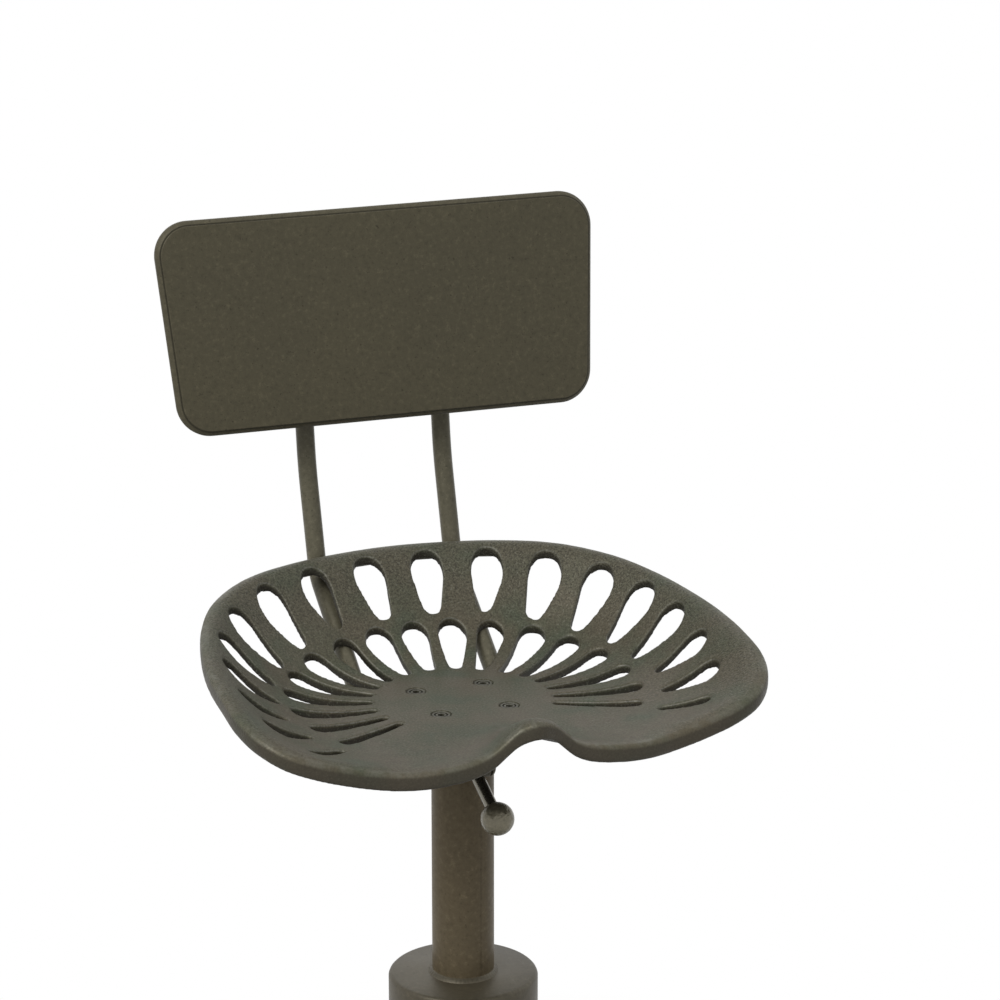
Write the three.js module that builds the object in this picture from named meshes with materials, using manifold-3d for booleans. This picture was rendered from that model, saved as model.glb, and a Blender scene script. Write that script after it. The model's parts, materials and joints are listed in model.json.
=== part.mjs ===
// Stool with a cast tractor seat, a small backrest on two bent struts, and a post that slides up and swivels.
// Millimetres, +Z up. The stool faces -Y, and the origin is on the floor under the middle of its depth.
import * as THREE from "three";
import Module from "manifold-3d";
import { mergeVertices } from "three/addons/utils/BufferGeometryUtils.js";

// Fits that several pieces share
const gap = 0.3; // between pieces that touch
const runningClearance = 0.4; // round a piece that turns or slides in another
const screwClearance = 0.5; // round a screw in its hole
const cutOverrun = 3; // how far a cutter runs past what it cuts
const weldDistance = 1e-4; // corners closer than this are one corner
const postSetback = 17; // the post's axis lies this far in front of the origin

// Seat casting
const seatHeight = 600; // top of the flat hub above the floor, with the post right down
const hubRadius = 60; // where the flat middle starts to rise
const hubBossRadius = 52;
const hubThickness = 12;
const panThickness = 8;
const crestReach = 224; // from the middle to the furthest point of the rim's crest
const crestRise = 75; // the scale of the crest's height over the hub
const rimRollRadius = 8;
const lipDepth = 14.2;
const lipWall = 6.5;

// The rim's crest from the middle of the back round to the middle of the front, one side.
const crestTurnShares = [
  0, 0.083, 0.167, 0.25, 0.333, 0.4, 0.467, 0.533, 0.589, 0.633, 0.667,
  0.7, 0.728, 0.756, 0.789, 0.828, 0.872, 0.911, 0.936, 0.953, 0.972, 1,
];
const crestReachShares = [
  0.721, 0.726, 0.752, 0.797, 0.83, 0.842, 0.859, 0.893, 0.933, 0.978, 1,
  0.989, 0.942, 0.868, 0.792, 0.75, 0.708, 0.676, 0.663, 0.661, 0.667, 0.683,
];
const crestRiseShares = [
  0.973, 0.973, 0.973, 0.953, 0.893, 0.829, 0.764, 0.697, 0.633, 0.553, 0.467,
  0.36, 0.267, 0.167, 0.083, 0.063, 0.083, 0.129, 0.204, 0.301, 0.403, 0.464,
];
// How far out along the bowl the top face's rings lie, as shares of the reach.
const bowlRingShares = [0.27, 0.4, 0.52, 0.63, 0.73, 0.82, 0.9, 0.96, 1];
const bowlSteepness = 3.5; // power of the bowl's curve at the sides and the front
const backSoftening = 1.6; // how much lower that power is in the middle of the back
const backFocus = 4; // how fast that fades round the seat
const frontSoftening = 2; // the same in the middle of the front
const frontFocus = 16;
const frontThinningShare = 0.35; // how much thinner the pan is there
const bowlOvershootShare = 1.16; // the bowl aims this far past the crest before it rounds over
const crestRoundingShare = 0.09;

// Each slot: turn from the back, inner end, outer end, and the half widths at those ends.
const outerSlotShares = [
  [0.053, 0.529, 0.7, 0.034, 0.057],
  [0.157, 0.562, 0.725, 0.029, 0.056],
  [0.25, 0.594, 0.77, 0.033, 0.059],
  [0.335, 0.616, 0.804, 0.029, 0.059],
  [0.413, 0.632, 0.821, 0.029, 0.057],
  [0.485, 0.638, 0.833, 0.023, 0.055],
  [0.557, 0.67, 0.85, 0.019, 0.05],
  [0.624, 0.674, 0.87, 0.018, 0.047],
  [0.692, 0.674, 0.853, 0.015, 0.027],
];
const innerSlotShares = [
  [0, 0.304, 0.511, 0.023, 0.048],
  [0.092, 0.304, 0.522, 0.021, 0.05],
  [0.179, 0.304, 0.545, 0.02, 0.046],
  [0.266, 0.304, 0.58, 0.019, 0.048],
  [0.344, 0.304, 0.598, 0.018, 0.045],
  [0.422, 0.304, 0.607, 0.018, 0.042],
  [0.506, 0.306, 0.612, 0.016, 0.038],
  [0.586, 0.308, 0.616, 0.015, 0.031],
  [0.661, 0.308, 0.612, 0.014, 0.025],
];

// Countersunk screws that hold the seat to the plate and the flange
const seatScrewSpacing = 55;
const seatScrewRadius = 4;
const seatScrewHeadRadius = 8;
const seatScrewHeadDepth = 4.4;
const seatScrewRecess = 0.2; // below the hub's face
const seatScrewRunThrough = 24;
const hexSocketAcross = 5;
const hexSocketDepth = 3;

// Plate under the seat that carries the struts
const strutPlateWidth = 138;
const strutPlateDepth = 84;
const strutPlateThickness = 5;
const strutPlateCorner = 10;

// Backrest struts, bent from round bar
const strutRadius = 7.4;
const strutSpacing = 114;
const strutFrontReach = 36; // ends this far in front of the post's axis
const strutRiseStart = 63; // bends up from the level run this far behind the axis
const strutElbowReach = 171.5; // second bend, behind the seat's rim
const strutElbowRise = 53.8; // height of that bend over the hub
const strutUpperBendRise = 137;
const strutLowerBend = 60;
const strutElbowBend = 30;
const strutUpperBend = 222;
const strutTopRise = 322;
const strutScrewRadius = 3;
const strutScrewHeadRadius = 6;
const strutScrewHeadDepth = 3.3;
const strutScrewLength = 15;
const strutScrewInset = 14; // from the plate's front and back edges

// Backrest panel
const panelTopWidth = 360;
const panelBottomWidth = 339;
const panelHeight = 168;
const panelDepth = 12; // of its turned-in edge
const panelSheet = 2.5;
const panelCorner = 28;
const panelEdgeBevel = 4.2;
const panelBottomRise = 178; // lower edge over the hub
const panelFrontReach = 160.5; // lower front edge behind the post's axis
const panelRecline = THREE.MathUtils.degToRad(7.7);
const panelStandoff = 40; // from the panel's front face to the struts' middle
const standoffRadius = 11;
const backBoltRadius = 3;
const backBoltHeadRadius = 6.5;
const backBoltHeadHeight = 3.6;
const backBoltGrip = 18; // how deep the bolt goes into the standoff
const backBoltSpacing = 100; // along the strut
const backBoltMiddle = 88; // up the panel from its lower edge

// Swivel flange and its spindle
const flangeRadius = 48;
const flangeThickness = 8;
const spindleRadius = 10;
const spindleLength = 85.4;
const thrustWasherThickness = 1.5;

// Lift tube and its bushes
const liftTubeRadius = 21.2;
const liftTubeWall = 3;
const liftTubeFootClearance = 20.5; // over the post's plug
const liftTubeTail = 28; // of the tube, below its slot
const bushFlangeThickness = 2.5;
const bushDepth = 32;
const lowerBushDepth = 20;
const retainerRadius = 14;
const retainerThickness = 3;
const retainerScrewRadius = 4;
const retainerScrewHeadRadius = 6.5;
const retainerScrewHeadHeight = 5.5;
const retainerScrewLength = 18;
const stopSlotWidth = 9;

// Outer post
const postRadius = 24;
const postWall = postRadius - liftTubeRadius - runningClearance;
const postBottom = 215;
const postSlitDepth = 26;
const postSlitWidth = 2.4;
const postPlugDepth = 14;
const postPlugFlange = 3;

// Stop screw that runs in the lift tube's slot
const stopScrewDrop = 2.8; // below the middle of the free post, from the leg cap to the clamp
const stopScrewRadius = 4;
const stopScrewHeadRadius = 7;
const stopScrewHeadHeight = 5;

// Clamp round the top of the post
const collarWall = 5;
const collarHeight = 20.2;
const lugThickness = 5.5;
const lugGap = 1.5;
const lugRadius = 9.6;
const lugMiddle = 6.25; // the split lies this far to the right of the middle
const pivotReach = 38; // clamp screw in front of the post's axis
const clampScrewRadius = 4;

// Clamp lever
const leverHubRadius = 9.4;
const leverHubWidth = 12.6;
const leverDroop = THREE.MathUtils.degToRad(24);
const leverReach = 57.4; // from the clamp screw to the middle of the ball
const leverRodRadius = 4.95;
const leverSpigotRadius = 3;
const leverSpigotDepth = 5;
const ballRadius = 12.6;
const ballBoreDepth = 9;

// Legs, their brackets and the foot ring
const legCount = 4;
const legRadius = 12.7;
const legWall = 2;
const legTopReach = 42;
const legTopHeight = 372;
const legSplayHeight = 290;
const legFootReach = 254.8;
const legFootHeight = 52; // where the leg turns upright again
const legBend = 60;
const legFootBend = 45;
const capThickness = 4;
const capDepth = 24;
const capWall = 3;
const bracketThickness = 5;
const bracketHeight = 316;
const gliderRadius = 16.5;
const gliderHeight = 26;
const gliderFloor = 7;
const gliderEdge = 1.6;
const ringHeight = 170;
const ringRadius = 8;
const ringBoltRadius = 3;
const ringBoltHeadRadius = 6;
const ringBoltHeadHeight = 3.4;
const ringBoltGrip = 8;

// Facets: whole turns, half turns of a bar's section, and steps round a bend
const roundSteps = 24;
const boltSteps = 12;
const barHalfSteps = 6;
const bendSteps = 4;
const ringSteps = 40;
const slotEndHalfSteps = 3;
const cornerHalfSteps = 3;
const seatTurnSteps = 60;
const seatFrontFocus = 0.45; // how much closer together the seat's steps lie at its front

const steel = { color: 0x4b463a, roughness: 0.42, metalness: 0.85 };
const castIron = { color: 0x5f5b4f, roughness: 0.5, metalness: 0.8 };
const brightSteel = { color: 0x8d8a83, roughness: 0.3, metalness: 1 };
const bronze = { color: 0x8a6f3c, roughness: 0.45, metalness: 0.9 };
const rubber = { color: 0x16161a, roughness: 0.85, metalness: 0 };
const nylon = { color: 0x1c1c1c, roughness: 0.6, metalness: 0 };

const wasm = await Module();
wasm.setup();

const stool = new THREE.Group();
stool.name = "tractor_seat_stool";
const frame = new THREE.Group();
frame.position.y = -postSetback;
stool.add(frame);

// Joining and cutting

function solidOf(geometry) {
  const bare = geometry.clone();
  bare.deleteAttribute("normal");
  bare.deleteAttribute("uv");
  const merged = mergeVertices(bare, weldDistance);
  return new wasm.Manifold(
    new wasm.Mesh({
      numProp: 3,
      vertProperties: new Float32Array(merged.attributes.position.array),
      triVerts: new Uint32Array(merged.index.array),
    }),
  );
}

function geometryOf(solid) {
  const mesh = solid.getMesh();
  const geometry = new THREE.BufferGeometry();
  geometry.setAttribute("position", new THREE.BufferAttribute(mesh.vertProperties, 3));
  geometry.setIndex(new THREE.BufferAttribute(mesh.triVerts, 1));
  return geometry;
}

function cut(geometry, cutters) {
  let solid = solidOf(geometry);
  for (const cutter of cutters) {
    solid = solid.subtract(solidOf(cutter));
  }
  return geometryOf(solid);
}

function join(geometries) {
  let solid = solidOf(geometries[0]);
  for (const other of geometries.slice(1)) {
    solid = solid.add(solidOf(other));
  }
  return geometryOf(solid);
}

function addPiece(parent, name, geometry, finish) {
  const drawn = geometry.toNonIndexed();
  drawn.computeVertexNormals();
  const mesh = new THREE.Mesh(drawn, new THREE.MeshStandardMaterial(finish));
  mesh.name = name;
  parent.add(mesh);
  return mesh;
}

// Basic turned and drawn shapes

// Turns a list of [radius, height] round the Z axis.
function turned(profile, steps = roundSteps) {
  const points = profile.map(([radius, height]) => new THREE.Vector2(radius, height));
  return new THREE.LatheGeometry(points, steps).rotateX(Math.PI / 2);
}

function disc(radius, bottom, top, steps = roundSteps) {
  return turned([[0, bottom], [radius, bottom], [radius, top], [0, top]], steps);
}

function sleeve(innerRadius, outerRadius, bottom, top, steps = roundSteps) {
  const corners = [
    [innerRadius, bottom],
    [outerRadius, bottom],
    [outerRadius, top],
    [innerRadius, top],
    [innerRadius, bottom],
  ];
  return turned(corners, steps);
}

// A six-sided prism standing on the XY plane.
function hexPrism(acrossFlats, bottom, top) {
  const cornerRadius = acrossFlats / 2 / Math.cos(Math.PI / 6);
  return disc(cornerRadius, bottom, top, 6);
}

// A line that a bar is drawn along, with one section of the bar at each of its places.
class BarLine extends THREE.Curve {
  constructor(places) {
    super();
    this.places = places;
  }

  runAt(index) {
    const from = THREE.MathUtils.clamp(index, 0, this.places.length - 2);
    return this.places[from + 1].clone().sub(this.places[from]).normalize();
  }

  getPointAt(share) {
    return this.places[Math.round(share * (this.places.length - 1))].clone();
  }

  getTangentAt(share) {
    const index = Math.round(share * (this.places.length - 1));
    return this.runAt(index - 1).add(this.runAt(index)).normalize();
  }
}

// Straight runs joined by round bends, through the given corners.
function bentLine(corners, bendRadii) {
  const places = [corners[0]];
  bendRadii.forEach((radius, i) => {
    const corner = corners[i + 1];
    const before = corners[i].clone().sub(corner).normalize();
    const after = corners[i + 2].clone().sub(corner).normalize();
    const turn = Math.PI - before.angleTo(after);
    const setback = radius * Math.tan(turn / 2);
    const start = corner.clone().addScaledVector(before, setback);
    const end = corner.clone().addScaledVector(after, setback);
    const inward = after.clone().addScaledVector(before, -after.dot(before)).normalize();
    const centre = start.clone().addScaledVector(inward, radius);
    const arm = start.clone().sub(centre);
    const axis = arm.clone().cross(end.clone().sub(centre)).normalize();
    for (let step = 0; step <= bendSteps; step += 1) {
      places.push(arm.clone().applyAxisAngle(axis, (turn * step) / bendSteps).add(centre));
    }
  });
  places.push(corners[corners.length - 1]);
  return new BarLine(places);
}

function roundSection(radius, boreRadius) {
  const section = new THREE.Shape();
  section.absarc(0, 0, radius, 0, Math.PI * 2, false);
  if (boreRadius > 0) {
    const bore = new THREE.Path();
    bore.absarc(0, 0, boreRadius, 0, Math.PI * 2, true);
    section.holes.push(bore);
  }
  return section;
}

function barAlong(line, radius, boreRadius = 0) {
  const settings = {
    steps: line.places.length - 1,
    extrudePath: line,
    curveSegments: barHalfSteps,
    bevelEnabled: false,
  };
  return new THREE.ExtrudeGeometry(roundSection(radius, boreRadius), settings);
}

// Seat casting

const crestTurns = crestTurnShares.map((share) => share * Math.PI);

function crestCurve(shares, size) {
  const curve = new THREE.CubicInterpolant(crestTurns, shares.map((share) => share * size), 1);
  curve.settings = { endingStart: THREE.ZeroSlopeEnding, endingEnd: THREE.ZeroSlopeEnding };
  return (turn) => curve.evaluate(turn)[0];
}

const reachAt = crestCurve(crestReachShares, crestReach);
const riseAt = crestCurve(crestRiseShares, crestRise);

// The smaller of a value and 1, rounded where they meet.
function roundedMinimum(value) {
  const width = 2 * crestRoundingShare;
  return (value + 1 - Math.hypot(value - 1, width)) / 2;
}

// 1 in the middle of the front, and soon 0 on either side.
function frontWeight(turn) {
  return ((1 - Math.cos(turn)) / 2) ** frontFocus;
}

// Height of the seat's top face over the hub, at a turn from the back and a distance from the middle.
function bowlHeight(turn, distance) {
  const reach = reachAt(turn);
  const along = Math.max(0, (distance - hubRadius) / (reach - hubRadius));
  const towardsBack = (1 + Math.cos(turn)) / 2;
  const backPart = backSoftening * towardsBack ** backFocus;
  const power = bowlSteepness - backPart - frontSoftening * frontWeight(turn);
  const low = roundedMinimum(0);
  const high = roundedMinimum(bowlOvershootShare);
  const level = roundedMinimum(bowlOvershootShare * along ** power);
  return (riseAt(turn) * (level - low)) / (high - low);
}

// The seat's section as [distance from the middle, drop below the top face]. Past the crest, the
// distance runs on over the rolled rim.
function seatSection() {
  const rings = bowlRingShares.map((share) => share * crestReach);
  const rimEdge = crestReach + rimRollRadius;
  const lipInner = rimEdge - lipWall;
  const lipEdge = lipWall / 4;
  const section = [[0, -hubThickness], [hubBossRadius, -hubThickness], [hubBossRadius, -panThickness]];
  for (const ring of rings.filter((distance, i) => i % 2 === 0)) {
    section.push([Math.min(ring, lipInner - lipEdge), -panThickness]);
  }
  section.push([lipInner, -lipDepth + lipEdge]);
  section.push([lipInner + lipEdge, -lipDepth]);
  section.push([rimEdge - lipEdge, -lipDepth]);
  section.push([rimEdge, -lipDepth + lipEdge]);
  for (const share of [1, 0.66, 0.33]) {
    const angle = (share * Math.PI) / 2;
    const out = rimRollRadius * Math.sin(angle);
    section.push([crestReach + out, -rimRollRadius * (1 - Math.cos(angle))]);
  }
  for (const ring of rings.reverse()) {
    section.push([ring, 0]);
  }
  section.push([0, 0]);
  return section;
}

function seatShell() {
  const shell = turned(seatSection(), seatTurnSteps);
  const place = shell.attributes.position;
  for (let i = 0; i < place.count; i += 1) {
    const nominal = Math.hypot(place.getX(i), place.getY(i));
    const even = Math.atan2(place.getX(i), place.getY(i));
    const turn = even + seatFrontFocus * Math.sin(even);
    const reach = reachAt(Math.abs(turn));
    const share = Math.min(nominal / crestReach, 1);
    const past = Math.max(0, nominal - crestReach);
    const distance = nominal > hubBossRadius ? share * reach + past : nominal;
    const height = bowlHeight(Math.abs(turn), Math.min(distance, reach));
    const isPan = nominal > hubBossRadius && nominal < crestReach;
    const thinning = isPan ? frontThinningShare * frontWeight(turn) : 0;
    const drop = place.getZ(i) * (1 - thinning);
    place.setXYZ(i, distance * Math.sin(turn), distance * Math.cos(turn), height + drop);
  }
  return shell;
}

// A slot with round ends, wider at its outer end, cut straight down through the seat.
function slotCutter([turnShare, innerShare, outerShare, innerWidthShare, outerWidthShare], side) {
  const innerWidth = innerWidthShare * crestReach;
  const outerWidth = outerWidthShare * crestReach;
  const innerMiddle = innerShare * crestReach + innerWidth;
  const outerMiddle = outerShare * crestReach - outerWidth;
  const flare = Math.asin((outerWidth - innerWidth) / (outerMiddle - innerMiddle));
  const quarter = Math.PI / 2;
  const outline = new THREE.Shape();
  outline.absarc(outerMiddle, 0, outerWidth, -quarter - flare, quarter + flare, false);
  outline.absarc(innerMiddle, 0, innerWidth, quarter + flare, -quarter - flare + 2 * Math.PI, false);
  const depth = crestRise + hubThickness + 2 * cutOverrun;
  const settings = { depth, bevelEnabled: false, curveSegments: slotEndHalfSteps };
  const cutter = new THREE.ExtrudeGeometry(outline, settings);
  cutter.translate(0, 0, -hubThickness - cutOverrun);
  cutter.rotateZ(quarter - side * turnShare * Math.PI);
  return cutter;
}

function slotCutters() {
  const cutters = [];
  for (const slot of [...outerSlotShares, ...innerSlotShares]) {
    const sides = slot[0] > 0 ? [1, -1] : [1];
    for (const side of sides) {
      cutters.push(slotCutter(slot, side));
    }
  }
  return cutters;
}

const cornerSigns = [
  ["front_left", -1, -1],
  ["front_right", 1, -1],
  ["back_left", -1, 1],
  ["back_right", 1, 1],
];

function atSeatScrews(makeCutter) {
  return cornerSigns.map(([, x, y]) =>
    makeCutter().translate((x * seatScrewSpacing) / 2, (y * seatScrewSpacing) / 2, 0),
  );
}

// A clearance hole with a countersink, down from the hub's face.
function countersink() {
  const slope = (seatScrewHeadRadius - seatScrewRadius) / seatScrewHeadDepth;
  const coneBottom = -seatScrewRecess - seatScrewHeadDepth - screwClearance;
  const holeRadius = seatScrewRadius + screwClearance;
  const topRadius = holeRadius + slope * (cutOverrun - coneBottom);
  return turned([
    [0, -hubThickness - cutOverrun],
    [holeRadius, -hubThickness - cutOverrun],
    [holeRadius, coneBottom],
    [topRadius, cutOverrun],
    [0, cutOverrun],
  ], boltSteps);
}

const seatGroup = new THREE.Group();
seatGroup.position.z = seatHeight;
frame.add(seatGroup);

function addSeat() {
  const pan = cut(seatShell(), [...slotCutters(), ...atSeatScrews(countersink)]);
  addPiece(seatGroup, "seat_pan", pan, castIron);
}

function addSeatScrews() {
  const top = -seatScrewRecess;
  const profile = [
    [0, top - seatScrewRunThrough],
    [seatScrewRadius, top - seatScrewRunThrough],
    [seatScrewRadius, top - seatScrewHeadDepth],
    [seatScrewHeadRadius, top - gap],
    [seatScrewHeadRadius, top],
    [0, top],
  ];
  const socket = hexPrism(hexSocketAcross, top - hexSocketDepth, top + cutOverrun);
  const socketed = cut(turned(profile, boltSteps), [socket]);
  for (const [corner, x, y] of cornerSigns) {
    const screw = addPiece(seatGroup, `seat_screw_${corner}`, socketed, brightSteel);
    screw.position.set((x * seatScrewSpacing) / 2, (y * seatScrewSpacing) / 2, 0);
  }
}

// Plate and struts

const strutPlateTop = -hubThickness - gap;
const strutPlateBottom = strutPlateTop - strutPlateThickness;
const strutLevel = strutPlateBottom - gap - strutRadius;
const strutScrewReach = strutPlateDepth / 2 - strutScrewInset;

function roundedRectangle(width, height, corner) {
  const outline = new THREE.Shape();
  const quarter = Math.PI / 2;
  const x = width / 2 - corner;
  const y = height / 2 - corner;
  outline.absarc(x, -y, corner, -quarter, 0, false);
  outline.absarc(x, y, corner, 0, quarter, false);
  outline.absarc(-x, y, corner, quarter, 2 * quarter, false);
  outline.absarc(-x, -y, corner, 2 * quarter, 3 * quarter, false);
  return outline;
}

function strutScrewCutter() {
  const slope = (strutScrewHeadRadius - strutScrewRadius) / strutScrewHeadDepth;
  const coneBottom = strutPlateTop - gap - strutScrewHeadDepth - screwClearance;
  const holeRadius = strutScrewRadius + screwClearance;
  return turned([
    [0, strutPlateTop - strutScrewLength - cutOverrun],
    [holeRadius, strutPlateTop - strutScrewLength - cutOverrun],
    [holeRadius, coneBottom],
    [holeRadius + slope * (strutPlateTop + cutOverrun - coneBottom), strutPlateTop + cutOverrun],
    [0, strutPlateTop + cutOverrun],
  ], boltSteps);
}

function addStrutPlate() {
  const outline = roundedRectangle(strutPlateWidth, strutPlateDepth, strutPlateCorner);
  const settings = { depth: strutPlateThickness, bevelEnabled: false, curveSegments: cornerHalfSteps };
  const plate = new THREE.ExtrudeGeometry(outline, settings);
  plate.translate(0, 0, strutPlateBottom);
  const holeRadius = seatScrewRadius + screwClearance;
  const holeBottom = strutPlateBottom - cutOverrun;
  const holes = atSeatScrews(() => disc(holeRadius, holeBottom, strutPlateTop + cutOverrun, boltSteps));
  const strutHoles = cornerSigns.map(([, x, y]) =>
    strutScrewCutter().translate((x * strutSpacing) / 2, y * strutScrewReach, 0),
  );
  addPiece(seatGroup, "strut_plate", cut(plate, [...holes, ...strutHoles]), steel);
}

function addStrutScrews() {
  const top = strutPlateTop - gap;
  const profile = [
    [0, top - strutScrewLength + cutOverrun],
    [strutScrewRadius, top - strutScrewLength + cutOverrun],
    [strutScrewRadius, top - strutScrewHeadDepth],
    [strutScrewHeadRadius, top],
    [0, top],
  ];
  for (const [corner, x, y] of cornerSigns) {
    const screw = addPiece(seatGroup, `strut_screw_${corner}`, turned(profile, boltSteps), brightSteel);
    screw.position.set((x * strutSpacing) / 2, y * strutScrewReach, 0);
  }
}

// The struts' middle line behind the panel, in the YZ plane.
const panelUp = new THREE.Vector3(0, Math.sin(panelRecline), Math.cos(panelRecline));
const panelBack = new THREE.Vector3(0, Math.cos(panelRecline), -Math.sin(panelRecline));
const panelFoot = new THREE.Vector3(0, panelFrontReach, panelBottomRise);
const strutLineFoot = panelFoot.clone().addScaledVector(panelBack, panelStandoff);

function strutPointAt(rise) {
  const along = (rise - strutLineFoot.z) / panelUp.z;
  return strutLineFoot.clone().addScaledVector(panelUp, along);
}

function strutLine() {
  const points = [
    new THREE.Vector3(0, -strutFrontReach, strutLevel),
    new THREE.Vector3(0, strutRiseStart, strutLevel),
    new THREE.Vector3(0, strutElbowReach, strutElbowRise),
    strutPointAt(strutUpperBendRise),
    strutPointAt(strutTopRise),
  ];
  return bentLine(points, [strutLowerBend, strutElbowBend, strutUpperBend]);
}

const backBoltRises = [
  ["lower", backBoltMiddle - backBoltSpacing / 2],
  ["upper", backBoltMiddle + backBoltSpacing / 2],
];

// Places a turned piece, whose axis runs back through the panel, up the panel from its lower edge.
function placeOnPanelAxis(mesh, side, upPanel) {
  const point = panelFoot.clone().addScaledVector(panelUp, upPanel);
  mesh.position.set((side * strutSpacing) / 2, point.y, point.z);
  mesh.rotation.x = -Math.PI / 2 - panelRecline;
  mesh.updateMatrix();
  return mesh;
}

function alongPanelAxis(geometry, side, upPanel) {
  const carrier = placeOnPanelAxis(new THREE.Mesh(), side, upPanel);
  return geometry.applyMatrix4(carrier.matrix);
}

const strutBack = panelStandoff + strutRadius;

function addStruts() {
  const boltHole = () => disc(backBoltRadius + screwClearance, 0, strutBack + cutOverrun, boltSteps);
  for (const [name, side] of [["left", -1], ["right", 1]]) {
    const bar = barAlong(strutLine(), strutRadius);
    bar.translate((side * strutSpacing) / 2, 0, 0);
    const cutters = backBoltRises.map(([, rise]) =>
      alongPanelAxis(boltHole(), side, rise),
    );
    for (const end of [-1, 1]) {
      cutters.push(strutScrewCutter().translate((side * strutSpacing) / 2, end * strutScrewReach, 0));
    }
    addPiece(seatGroup, `back_strut_${name}`, cut(bar, cutters), steel);
  }
}

// The panel's outline drawn in from its full size, with its lower edge that much above zero.
function panelOutline(inward) {
  const bottom = panelBottomWidth / 2 - inward;
  const top = panelTopWidth / 2 - inward;
  const height = panelHeight - 2 * inward;
  const corner = panelCorner - inward;
  const lean = Math.atan((top - bottom) / height);
  const quarter = Math.PI / 2;
  // The corner circles touch the sloping side and the level edge.
  const inset = corner / Math.cos(lean);
  const lowX = bottom + corner * Math.tan(lean) - inset;
  const highX = top - corner * Math.tan(lean) - inset;
  const outline = new THREE.Shape();
  outline.absarc(lowX, corner, corner, -quarter, -lean, false);
  outline.absarc(highX, height - corner, corner, -lean, quarter, false);
  outline.absarc(-highX, height - corner, corner, quarter, 2 * quarter + lean, false);
  outline.absarc(-lowX, corner, corner, 2 * quarter + lean, 3 * quarter, false);
  return outline;
}

// Stands a shape drawn in the panel's plane, and extruded backwards, on the panel's place.
function onPanel(geometry, inward, back) {
  const basis = new THREE.Matrix4().makeBasis(new THREE.Vector3(-1, 0, 0), panelUp, panelBack);
  geometry.translate(0, inward, back).applyMatrix4(basis);
  return geometry.translate(panelFoot.x, panelFoot.y, panelFoot.z);
}

// A sheet panel whose edge is turned back all round.
function addPanel() {
  const outer = new THREE.ExtrudeGeometry(panelOutline(panelEdgeBevel), {
    depth: panelDepth - 2 * panelEdgeBevel,
    bevelEnabled: true,
    bevelThickness: panelEdgeBevel,
    bevelSize: panelEdgeBevel,
    bevelSegments: 1,
    curveSegments: cornerHalfSteps,
  });
  const innerInset = panelEdgeBevel + panelSheet;
  const inner = new THREE.ExtrudeGeometry(panelOutline(innerInset), {
    depth: panelDepth,
    bevelEnabled: false,
    curveSegments: cornerHalfSteps,
  });
  const board = onPanel(outer, panelEdgeBevel, panelEdgeBevel);
  addPiece(seatGroup, "backrest_panel", cut(board, [onPanel(inner, innerInset, panelSheet)]), steel);
}

function addPanelFixings() {
  const standoffStart = panelSheet + gap;
  const standoffEnd = panelStandoff;
  const saddleEnd = new THREE.Vector3(0, 2 * standoffRadius, standoffEnd);
  const saddleStart = new THREE.Vector3(0, -2 * standoffRadius, standoffEnd);
  const strutSaddle = barAlong(new BarLine([saddleStart, saddleEnd]), strutRadius + gap);
  const boltEnd = standoffEnd - backBoltGrip;
  const holeEnd = boltEnd - screwClearance;
  const standoffHole = disc(backBoltRadius + screwClearance, holeEnd, standoffEnd + cutOverrun, boltSteps);
  const standoff = cut(disc(standoffRadius, standoffStart, standoffEnd), [strutSaddle, standoffHole]);
  const headStart = strutBack + gap;
  const bolt = turned([
    [0, boltEnd],
    [backBoltRadius, boltEnd],
    [backBoltRadius, headStart],
    [backBoltHeadRadius, headStart],
    [backBoltHeadRadius, headStart + backBoltHeadHeight / 3],
    [backBoltHeadRadius / 2, headStart + backBoltHeadHeight],
    [0, headStart + backBoltHeadHeight],
  ], boltSteps);
  for (const [sideName, side] of [["left", -1], ["right", 1]]) {
    for (const [riseName, rise] of backBoltRises) {
      const post = addPiece(seatGroup, `back_standoff_${riseName}_${sideName}`, standoff, steel);
      placeOnPanelAxis(post, side, rise);
      const screw = addPiece(seatGroup, `back_bolt_${riseName}_${sideName}`, bolt, brightSteel);
      placeOnPanelAxis(screw, side, rise);
    }
  }
}

// Swivel: a flange welded to a spindle that turns in two bushes in the lift tube

const flangeTop = seatHeight + strutPlateBottom - gap;
const flangeBottom = flangeTop - flangeThickness;
const washerTop = flangeBottom - gap;
const bushTop = washerTop - thrustWasherThickness - gap;
const postTop = bushTop - bushFlangeThickness - gap;
const spindleBottom = flangeBottom - spindleLength;
const bushBore = spindleRadius + runningClearance;
const bushBody = liftTubeRadius - liftTubeWall - gap;

function addSwivel() {
  const flange = sleeve(spindleRadius + gap, flangeRadius, flangeBottom, flangeTop);
  const holeRadius = seatScrewRadius + screwClearance;
  const cutBottom = flangeBottom - cutOverrun;
  const holes = atSeatScrews(() => disc(holeRadius, cutBottom, flangeTop + cutOverrun, boltSteps));
  addPiece(frame, "swivel_flange", cut(flange, holes), steel);

  const threadRadius = retainerScrewRadius + gap;
  const threadTop = spindleBottom + retainerScrewLength + cutOverrun;
  const spindle = turned([
    [0, threadTop],
    [threadRadius, threadTop],
    [threadRadius, spindleBottom],
    [spindleRadius, spindleBottom],
    [spindleRadius, flangeTop],
    [0, flangeTop],
  ]);
  addPiece(frame, "swivel_spindle", spindle, brightSteel);
  const washer = sleeve(bushBore, postRadius, washerTop - thrustWasherThickness, washerTop);
  addPiece(frame, "thrust_washer", washer, bronze);
}

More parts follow.
